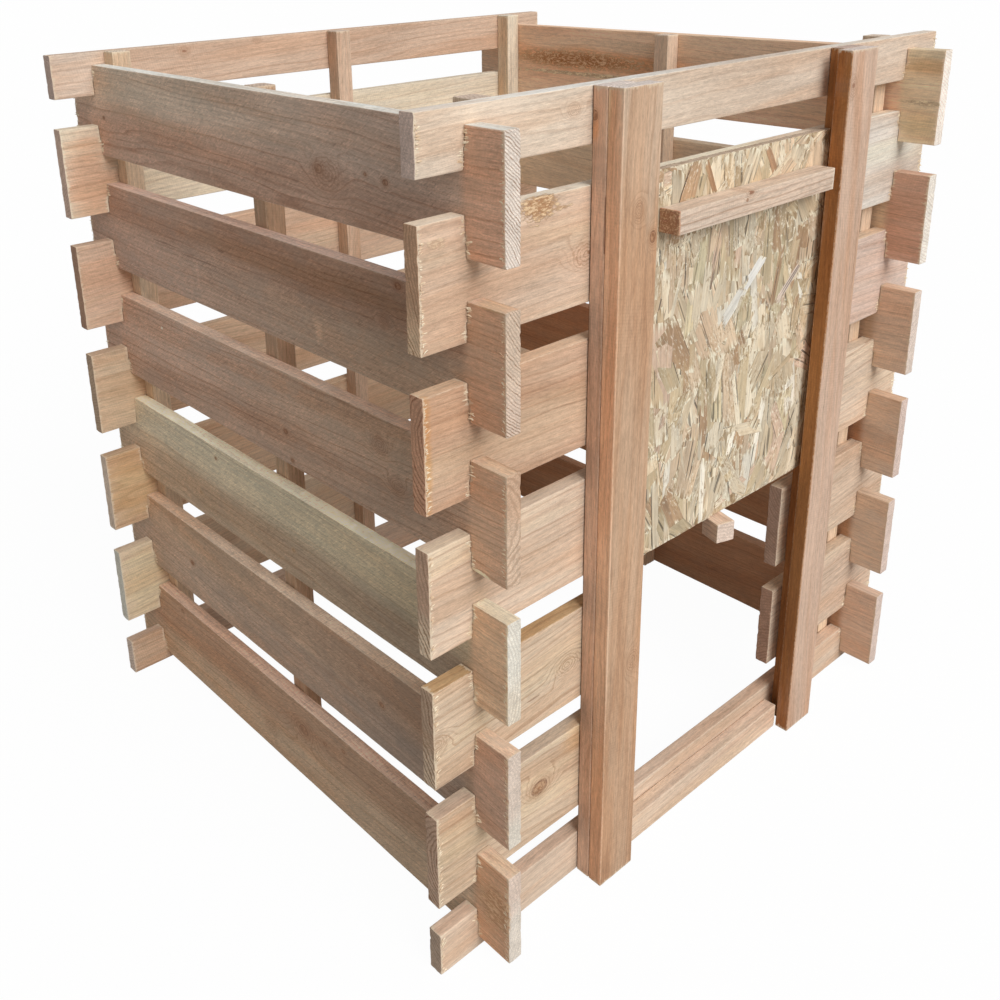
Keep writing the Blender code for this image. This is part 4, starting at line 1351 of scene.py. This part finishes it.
    def strand_material(self) -> bpy.types.Material:
        """Each strand's own tint with fibres along it, darker towards its rim in painted shade, brighter
        beside the right post in painted light, waxy.
        """
        sheet = NodeSheet("strand_board_strands")
        tint = sheet.attribute("tint").outputs["Color"]
        lay = sheet.attribute("lay").outputs["Vector"]
        far, side, _ = sheet.split(sheet.attribute("border").outputs["Vector"])
        fibre = sheet.noise(sheet.scaled(lay, (20.0, 520.0, 1.0)), detail=4.0, rough=0.65)
        stripe = sheet.noise(sheet.scaled(lay, (9.0, 170.0, 1.0), (0.2, 0.3, 0)), detail=2.0)
        broad = sheet.noise(sheet.scaled(lay, (16.0, 60.0, 1.0)), detail=3.0)
        light = sheet.varied(1.04, fibre, 0.8)
        light = sheet.varied(light, stripe, 0.6)
        light = sheet.varied(light, broad, 0.8)
        # painted shade along part of each strand's side, where an overlapping neighbour would shade it
        rim = sheet.times(sheet.step(side, 0.80, 0.96), sheet.step(stripe, 0.43, 0.52))
        light = sheet.times_add(rim, -0.66, light)
        splits = sheet.noise(sheet.scaled(lay, (5.0, 150.0, 1.0), (0.5, 0, 0)), detail=1.0)
        crack = sheet.step(splits, 0.64, 0.67)
        light = sheet.times_add(crack, -0.70, light)
        x, _, _ = sheet.split(sheet.place())
        # painted light: strands brighten towards the right post, in place of the shade that the post casts
        light = sheet.times(light, sheet.step(x, *self.lit_beside_post, 1.0, 1.3))
        colour = sheet.lit(tint, sheet.math("MAXIMUM", light, 0.12))
        colour = sheet.mix(sheet.step(broad, 0.54, 0.66, 0.0, 0.45), colour, (0.56, 0.40, 0.23))
        frayed = sheet.step(sheet.times_add(fibre, 0.9, far), 1.20, 1.36, 0.0, 0.85)
        splinters = sheet.mix(sheet.step(stripe, 0.46, 0.54), (0.36, 0.24, 0.13), (0.94, 0.87, 0.68))
        colour = sheet.mix(frayed, colour, splinters)
        fuzzy = sheet.step(sheet.noise(sheet.place(), 24.0, 3.0, 0.6), 0.46, 0.60, 0.15, 1.0)
        crumb = sheet.noise(sheet.scaled(lay, (120.0, 300.0, 1.0), (0.9, 0.4, 0)), detail=3.0, rough=0.7)
        dark_crumb = sheet.times(sheet.step(crumb, 0.55, 0.62), fuzzy)
        pale_crumb = sheet.times(sheet.step(crumb, 0.44, 0.37), fuzzy)
        colour = sheet.mix(sheet.times(dark_crumb, 0.75), colour, (0.34, 0.22, 0.11))
        colour = sheet.mix(sheet.times(pale_crumb, 0.70), colour, (0.98, 0.92, 0.76))
        height = sheet.times_add(crack, -0.6, sheet.times_add(crumb, -0.8, fibre))
        rough = sheet.times_add(fibre, 0.25, 0.50)
        return sheet.finish(colour, rough, height, 0.8, 0.9 * MM, gloss=0.35)

    def core_material(self) -> bpy.types.Material:
        """The board under the strands and its layered edges."""
        sheet = NodeSheet("strand_board_core")
        place = sheet.place()
        layers = sheet.noise(sheet.scaled(place, (60.0, 900.0, 60.0)), detail=4.0, rough=0.65)
        flecks = sheet.noise(sheet.scaled(place, (160.0, 160.0, 60.0)), detail=3.0)
        colour = sheet.mix(sheet.step(layers, 0.36, 0.62), (0.30, 0.19, 0.10), (0.72, 0.57, 0.37))
        colour = sheet.mix(sheet.step(flecks, 0.50, 0.70, 0.0, 0.6), colour, (0.82, 0.70, 0.50))
        upwards = sheet.step(sheet.facing(Axis.Z.along()), 0.5, 0.8, 0.0, 0.75)
        top = sheet.mix(sheet.step(layers, 0.44, 0.56), (0.40, 0.28, 0.20), (0.66, 0.52, 0.42))
        colour = sheet.mix(upwards, colour, top)
        return sheet.finish(colour, 0.8, layers, 0.8, 0.8 * MM)

    def build_panel(self) -> None:
        """The core slab and the strands on both of its faces."""
        low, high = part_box("hatch_panel")
        inset = Vector((0.0, self.skin, 0.0))
        bare = Timber((0.6, 0.48, 0.32))
        core = SawnPiece("panel_core", low + inset, high - inset, END_LAY, self.panel_wear,
                         steps=(14 * MM, 14 * MM)).build(bare)
        core.data.materials.append(self.core_material())
        self.keep(core, Body.HATCH, Slot.STRAND_BOARD, "hatch_panel")
        skin = self.strand_material()
        for front in (True, False):
            piece = self.strand_skin(front)
            piece.data.materials.append(skin)
            self.keep(piece, Body.HATCH, Slot.STRAND_BOARD)

    def build_block(self) -> None:
        """The short block under the panel, turned a little about the vertical."""
        low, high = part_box("hatch_foot_block")
        middle = (low + high) / 2
        half = Vector(self.block_size) / 2
        lay = Lay(Axis.Y, Axis.X, Axis.Z)
        piece = SawnPiece("hatch_foot_block_sawn", -half, half, lay, self.wear,
                          steps=(3 * MM, 3 * MM)).build(self.block)
        turn = Matrix.Translation(middle) @ Matrix.Rotation(self.block_turn, 4, "Z")
        piece.data.transform(turn)
        piece.data.materials.append(WoodFinish("hatch_foot_block_wood", self.block, lay).material())
        self.keep(piece, Body.HATCH, Slot.SAPWOOD, "hatch_foot_block")

    def build(self) -> None:
        """Builds the panel, the handle and the block."""
        self.build_panel()
        self.saw("hatch_handle", END_LAY, self.handle, self.wear, Body.HATCH)
        self.build_block()


@dataclass
class TornFibres(Assembly):
    """Pale fibres that the saw lifted beside the notches and ends, on the walls' outer faces."""

    spacing: float = 3.0 * MM
    end_spacing: float = 3.8 * MM
    length: tuple[float, float] = (4.0 * MM, 16.0 * MM)
    width: tuple[float, float] = (0.8 * MM, 2.8 * MM)
    lift: tuple[float, float] = (0.6 * MM, 3.2 * MM)
    bed: float = 1.0 * MM
    thickness: float = 0.5 * MM
    margin: float = 4.5 * MM
    bare_within: float = 0.3
    walls: dict[str, tuple[Lay, float]] = field(default_factory=lambda: {
        "left_board": (SIDE_LAY, -1.0), "right_board": (SIDE_LAY, 1.0),
        "front_board": (END_LAY, -1.0), "front_stub": (END_LAY, -1.0), "back_board": (END_LAY, 1.0)})

    def roots(self, node: str, lay: Lay, random: np.random.Generator) -> np.ndarray:
        """Tips and headings beside a board's cuts, but not at the ends beside the hatch.

        Returns:
            (n, 3) array of place along, place across and heading along (+1 or -1) of each tip.
        """
        low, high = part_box(node)
        crossing = END_BOARDS if node in SIDE_BOARDS else SIDE_BOARDS
        notches = [cut for name in crossing for cut in lap_notch(node, name, lay)]
        base, top = low[lay.width.value], high[lay.width.value]
        ends = ((low[lay.length.value] + MM, -1), (high[lay.length.value] - MM, 1))
        cuts = [(place, base, top, heading, self.end_spacing) for place, heading in ends
                if abs(place) > self.bare_within]
        for cut in notches:
            span = (cut.floor, top) if cut.from_top else (base, cut.floor)
            cuts += [(cut.start, *span, 1, self.spacing), (cut.end, *span, -1, self.spacing)]
        parts = []
        for place, start, end, heading, gap in cuts:
            count = max(1, round((end - start) / gap))
            across = random.uniform(start + self.margin, end - self.margin, count)
            parts.append(np.stack([np.full(count, place), across, np.full(count, float(heading))], axis=1))
        return np.concatenate(parts)

    def slivers(self, roots: np.ndarray, lay: Lay, face: float, outwards: float,
                random: np.random.Generator) -> tuple[np.ndarray, np.ndarray]:
        """Closed three-sided slivers.

        Each runs from its root, a length back from the cut and below the face, to its tip at the
        cut, and rises as the square of the way along it. Four rings of three corners taper
        towards both ends.
        """
        count = len(roots)
        way = np.array([0.0, 0.35, 0.75, 1.0])
        girth = np.array([0.5, 1.0, 0.8, 0.15])
        length = random.uniform(*self.length, (count, 1))
        slant = random.uniform(-0.35, 0.35, (count, 1))
        rise = random.uniform(*self.lift, (count, 1)) * random.random((count, 1)) ** 0.6
        run = roots[:, :1] - roots[:, 2:] * length * (1 - way) - roots[:, 2:] * 0.3 * MM
        across = roots[:, 1:2] - slant * length * (1 - way)
        height = -self.bed * (1 - way) ** 0.7 + rise * way ** 2
        half = random.uniform(*self.width, (count, 1)) / 2 * girth
        corners = ((-1.0, 0.0), (1.0, 0.0), (0.0, 1.0))
        points = np.zeros((count, 4, 3, 3))
        for number, (side, up) in enumerate(corners):
            points[:, :, number, lay.length.value] = run
            points[:, :, number, lay.width.value] = across + side * half
            rising = height + (up - 0.5) * self.thickness * girth
            points[:, :, number, lay.thickness.value] = face + outwards * rising
        ring = np.array([[0, 1, 4, 3], [1, 2, 5, 4], [2, 0, 3, 5]])
        quads = np.concatenate([ring + 3 * level for level in range(3)])
        ends = np.array([[2, 1, 0, 0], [9, 10, 11, 11]])
        shape = np.concatenate([quads, ends])
        faces = shape[None] + (np.arange(count) * 12)[:, None, None]
        return points.reshape(-1, 3), faces.reshape(-1, 4)

    def material(self) -> bpy.types.Material:
        """Cream fibres, some darker."""
        sheet = NodeSheet("torn_fibre")
        place = sheet.place()
        cloud = sheet.noise(place, 120.0, 3.0)
        fine = sheet.noise(place, 2200.0, 2.0)
        colour = sheet.mix(sheet.step(cloud, 0.40, 0.62), (0.97, 0.86, 0.66), (0.80, 0.60, 0.40))
        return sheet.finish(colour, 0.8, fine, 0.4, 0.3 * MM)

    def build(self) -> None:
        """One piece of fibres for each wall."""
        dressing = self.material()
        for prefix, (lay, outwards) in self.walls.items():
            points, faces, total = [], [], 0
            for node in (*SIDE_BOARDS, *END_BOARDS):
                if not node.startswith(prefix):
                    continue
                random = np.random.default_rng(seed_of(node + "_fibres"))
                low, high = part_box(node)
                face = (high if outwards > 0 else low)[lay.thickness.value]
                spots, quads = self.slivers(self.roots(node, lay, random), lay, face, outwards, random)
                points.append(spots)
                faces.append(quads + total)
                total += len(spots)
            piece = mesh_object(prefix + "_torn_fibres", np.concatenate(points),
                                [list(dict.fromkeys(face)) for face in np.concatenate(faces).tolist()], False)
            self.face_outwards(piece)
            piece.data.materials.append(dressing)
            self.keep(piece, Body.BIN, Slot.SAPWOOD)

    @staticmethod
    def face_outwards(piece: bpy.types.Object) -> None:
        """Turns every closed shape in the mesh outwards."""
        solid = bmesh.new()
        solid.from_mesh(piece.data)
        bmesh.ops.recalc_face_normals(solid, faces=solid.faces)
        solid.to_mesh(piece.data)
        solid.free()


@dataclass
class Fixings(Assembly):
    """Countersunk screws: those of the CAD, and the heads on the inner uprights."""

    head_radius: float = 4.2 * MM
    shank_radius: float = 2.2 * MM
    rim: float = 0.6 * MM
    bevel: float = 0.15 * MM
    tip: float = 7.0 * MM
    tip_radius: float = 0.35 * MM
    sides: int = 24
    recess: float = 1.5 * MM
    sink: float = 0.2 * MM
    batten_screw_length: float = 45 * MM

    def screw_shape(self, length: float) -> tuple[np.ndarray, np.ndarray]:
        """A screw along +Z with its head's top at 0: rings of a half outline, and a cross recess.

        The outline goes from the head's middle to its rim, down the cone and shank to the tip. The
        recess lowers a point of the head by its depth where it lies in either arm of a cross.
        """
        cone = self.head_radius - self.shank_radius
        flat = np.linspace(0.10, 1.0, 9) * (self.head_radius - self.bevel)
        radii = np.concatenate([flat, [self.head_radius] * 2, [self.shank_radius] * 2, [self.tip_radius]])
        levels = [self.bevel, self.rim, self.rim + cone, length - self.tip, length]
        depth = np.concatenate([np.zeros(9), levels])
        angle = np.arange(self.sides) / self.sides * 2 * math.pi
        x = radii[:, None] * np.cos(angle)
        y = radii[:, None] * np.sin(angle)
        z = -np.repeat(depth[:, None], self.sides, axis=1)
        across, down = np.abs(x), np.abs(y)
        arm = np.minimum(np.maximum(across / 2.6, down / 0.75), np.maximum(down / 2.6, across / 0.75))
        sloped = 1 - step_up(np.hypot(x, y) / MM, 1.0, 3.0) * 0.7
        dent = self.recess * (1 - step_up(arm / MM, 0.75, 1.25)) * sloped
        dent[9:] = 0.0
        z -= dent
        rings = np.stack([x, y, z], axis=2).reshape(-1, 3)
        points = np.concatenate([[[0, 0, -self.recess]], rings, [[0, 0, -length - 0.2 * MM]]])
        return points, self.screw_faces(len(radii))

    def screw_faces(self, rings: int) -> list[list[int]]:
        """Faces of the turned shape: a fan at each pole and quads between the rings."""
        ring = np.arange(self.sides)
        following = (ring + 1) % self.sides
        start = 1 + np.arange(rings)[:, None] * self.sides
        here, there = start + ring, start + following
        quads = np.stack([here[1:], there[1:], there[:-1], here[:-1]], axis=2).reshape(-1, 4)
        top = np.stack([np.zeros_like(ring), here[0], there[0]], axis=1)
        end = np.full_like(ring, 1 + rings * self.sides)
        base = np.stack([end, there[-1], here[-1]], axis=1)
        return quads.tolist() + top.tolist() + base.tolist()

    def placed(self, name: str, spots: list[tuple[Vector, Vector]], length: float) -> bpy.types.Object:
        """One piece of screws.

        Args:
            name: the piece's name.
            spots: the middle of each head's top, and the way that it faces.
            length: the screws' length in metres.

        Returns:
            The new piece.
        """
        shape, faces = self.screw_shape(length)
        points, all_faces = [], []
        for number, (spot, facing) in enumerate(spots):
            turn = facing.to_track_quat("Z", "Y").to_matrix() @ Matrix.Rotation(number * 0.9 + 0.4, 3, "Z")
            points.append(shape @ np.array(turn).T + np.array(spot))
            all_faces += [[index + number * len(shape) for index in face] for face in faces]
        piece = mesh_object(name, np.concatenate(points), all_faces)
        piece.data.materials.append(self.steel)
        return piece

    def steel_material(self) -> bpy.types.Material:
        """Dull zinc with darker dirt in patches."""
        sheet = NodeSheet("screw_zinc")
        place = sheet.place()
        cloud = sheet.noise(place, 900.0, 3.0)
        grit = sheet.noise(place, 2600.0, 2.0)
        colour = sheet.mix(sheet.step(cloud, 0.36, 0.66), (0.20, 0.18, 0.15), (0.50, 0.47, 0.40))
        rough = sheet.times_add(cloud, 0.3, 0.30)
        return sheet.finish(colour, rough, grit, 0.3, 0.2 * MM, metal=0.85, gloss=0.5)

    def inner_spots(self) -> list[tuple[Vector, Vector]]:
        """Where a screw goes from each inner upright into each board that it holds."""
        spots = []
        for node in InnerBattens().timbers:
            low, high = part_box(node)
            middle = (low + high) / 2
            wall = next(name for name in ("back", "front", "left", "right") if name in node)
            facing = {"back": Vector((0, -1, 0)), "front": Vector((0, 1, 0)),
                      "left": Vector((1, 0, 0)), "right": Vector((-1, 0, 0))}[wall]
            level = {"back": low.y, "front": high.y, "left": high.x, "right": low.x}[wall]
            boards = [name for name in (*END_BOARDS, *SIDE_BOARDS) if name.startswith(wall)]
            for number, board in enumerate(boards):
                base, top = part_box(board)
                if not base.x - MM < middle.x < top.x + MM and facing.y:
                    continue
                height = (base.z + top.z) / 2 + (8 * MM if number % 2 else -11 * MM)
                spot = Vector((middle.x + 2 * MM * math.sin(number * 2.1), middle.y, height))
                if facing.x:
                    spot = Vector((level, middle.y + 2 * MM * math.sin(number * 2.1), height))
                else:
                    spot.y = level
                spots.append((spot - facing * self.sink * 2, facing))
        return spots

    def build(self) -> None:
        """Builds the CAD's screws one by one and the inner heads as one piece."""
        self.steel = self.steel_material()
        for node in sorted(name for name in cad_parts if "_screw_" in name):
            low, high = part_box(node)
            middle = (low + high) / 2
            hatch = node.startswith("handle")
            facing = Vector((0, 1, 0)) if hatch else Vector((0, -1, 0))
            middle.y = high.y if hatch else low.y
            piece = self.placed(node + "_turned", [(middle, facing)], high.y - low.y - 0.2 * MM)
            self.keep(piece, Body.HATCH if hatch else Body.BIN, Slot.STEEL, node)
        inner = self.placed("inner_batten_screws", self.inner_spots(), self.batten_screw_length)
        self.keep(inner, Body.BIN, Slot.STEEL)


@dataclass
class Studio:
    """Floor, light and camera."""

    camera_place: Place = (-1.2001, -1.2530, 1.2662)
    yaw: float = 0.7161
    pitch: float = 0.3457
    roll: float = -0.0249
    lens: float = 39.83
    sensor: float = 36.0
    shift: tuple[float, float] = (0.0537, -0.17)
    ambient: float = 0.28
    sun_strength: float = 2.45
    sun_spread: float = math.radians(40)
    sun_from: Place = (-0.04, -0.60, 0.45)
    floor_size: float = 60.0
    floor_drop: float = 0.5 * MM
    floor_tone: tuple[float, float, float, float] = (0.50, 0.49, 0.47, 1.0)
    shown_share: float = 0.97
    clip_end: float = 200.0

    def seen_directly(self, sheet: NodeSheet) -> Socket:
        """1 for camera, glossy and transmission rays."""
        path = sheet.add("LightPath", {})
        rays = [path.outputs[name] for name in ("Is Camera Ray", "Is Glossy Ray", "Is Transmission Ray")]
        return sheet.math("MAXIMUM", sheet.math("MAXIMUM", rays[0], rays[1]), rays[2])

    def build_floor(self) -> None:
        """A wide pale floor that is white to the camera and keeps the shadow."""
        half = self.floor_size / 2
        ticks = np.linspace(-half, half, 9)
        x, y = (side.ravel() for side in np.meshgrid(ticks, ticks, indexing="ij"))
        points = np.stack([x, y, np.full_like(x, -self.floor_drop)], axis=1)
        first = np.arange(72).reshape(8, 9)[:, :8].reshape(-1, 1)
        faces = (first + np.array([0, 9, 10, 1])).tolist()
        floor = mesh_object("studio_floor", points, faces, False)
        sheet = NodeSheet("studio_floor_paper")
        bounce = sheet.add("BsdfDiffuse", {"Color": self.floor_tone})
        shown = sheet.add("BsdfDiffuse", {"Color": (1, 1, 1, 1)})
        glow = sheet.add("Emission", {"Color": (1, 1, 1, 1), "Strength": 1.0})
        paper = sheet.add("MixShader", {0: self.shown_share, 1: shown.outputs[0], 2: glow.outputs[0]})
        seen = self.seen_directly(sheet)
        both = sheet.add("MixShader", {0: seen, 1: bounce.outputs[0], 2: paper.outputs[0]})
        sheet.add("OutputMaterial", {0: both.outputs[0]})
        floor.data.materials.append(sheet.material)

    def build_light(self) -> None:
        """Even light from all round and a wide soft lamp from the front."""
        world = bpy.data.worlds.new("studio_world")
        bpy.context.scene.world = world
        sheet = NodeSheet(world.name, world)
        level = sheet.add("MapRange", {0: self.seen_directly(sheet), 3: self.ambient, 4: 1.0})
        background = sheet.add("Background", {0: (1, 1, 1, 1), 1: level.outputs[0]})
        sheet.add("OutputWorld", {0: background.outputs[0]})
        sun = bpy.data.lights.new("studio_lamp", "SUN")
        sun.energy = self.sun_strength
        sun.angle = self.sun_spread
        lamp = bpy.data.objects.new("studio_lamp", sun)
        lamp.matrix_world = Vector(self.sun_from).to_track_quat("Z", "Y").to_matrix().to_4x4()
        bpy.context.scene.collection.objects.link(lamp)

    def build_camera(self) -> None:
        """The camera at the photograph's place, turned by yaw, pitch and roll."""
        level = math.cos(self.pitch)
        forward = Vector((math.sin(self.yaw) * level, math.cos(self.yaw) * level, -math.sin(self.pitch)))
        right = Vector((math.cos(self.yaw), -math.sin(self.yaw), 0.0))
        up = right.cross(forward)
        turned_right = right * math.cos(self.roll) + up * math.sin(self.roll)
        turned_up = up * math.cos(self.roll) - right * math.sin(self.roll)
        data = bpy.data.cameras.new("photo_camera")
        data.lens = self.lens
        data.sensor_width = self.sensor
        data.shift_x, data.shift_y = self.shift
        data.clip_end = self.clip_end
        camera = bpy.data.objects.new("photo_camera", data)
        turn = Matrix((turned_right, turned_up, -forward)).transposed().to_4x4()
        camera.matrix_world = Matrix.Translation(self.camera_place) @ turn
        bpy.context.scene.collection.objects.link(camera)
        bpy.context.scene.camera = camera

    def build(self) -> None:
        """Sets the stage."""
        bpy.context.scene.view_settings.view_transform = "Standard"
        self.build_floor()
        self.build_light()
        self.build_camera()


def main() -> None:
    """Builds every sub-assembly in order."""
    logging.basicConfig(level=logging.INFO, format="%(name)s %(message)s")
    Studio().build()
    for assembly in (SideWalls(), EndWalls(), InnerBattens(), Guides(), Hatch(), TornFibres(), Fixings()):
        assembly.build()
        log.info("%s: %d pieces", type(assembly).__name__, len(assembly.made))


if __name__ == "__main__":
    main()
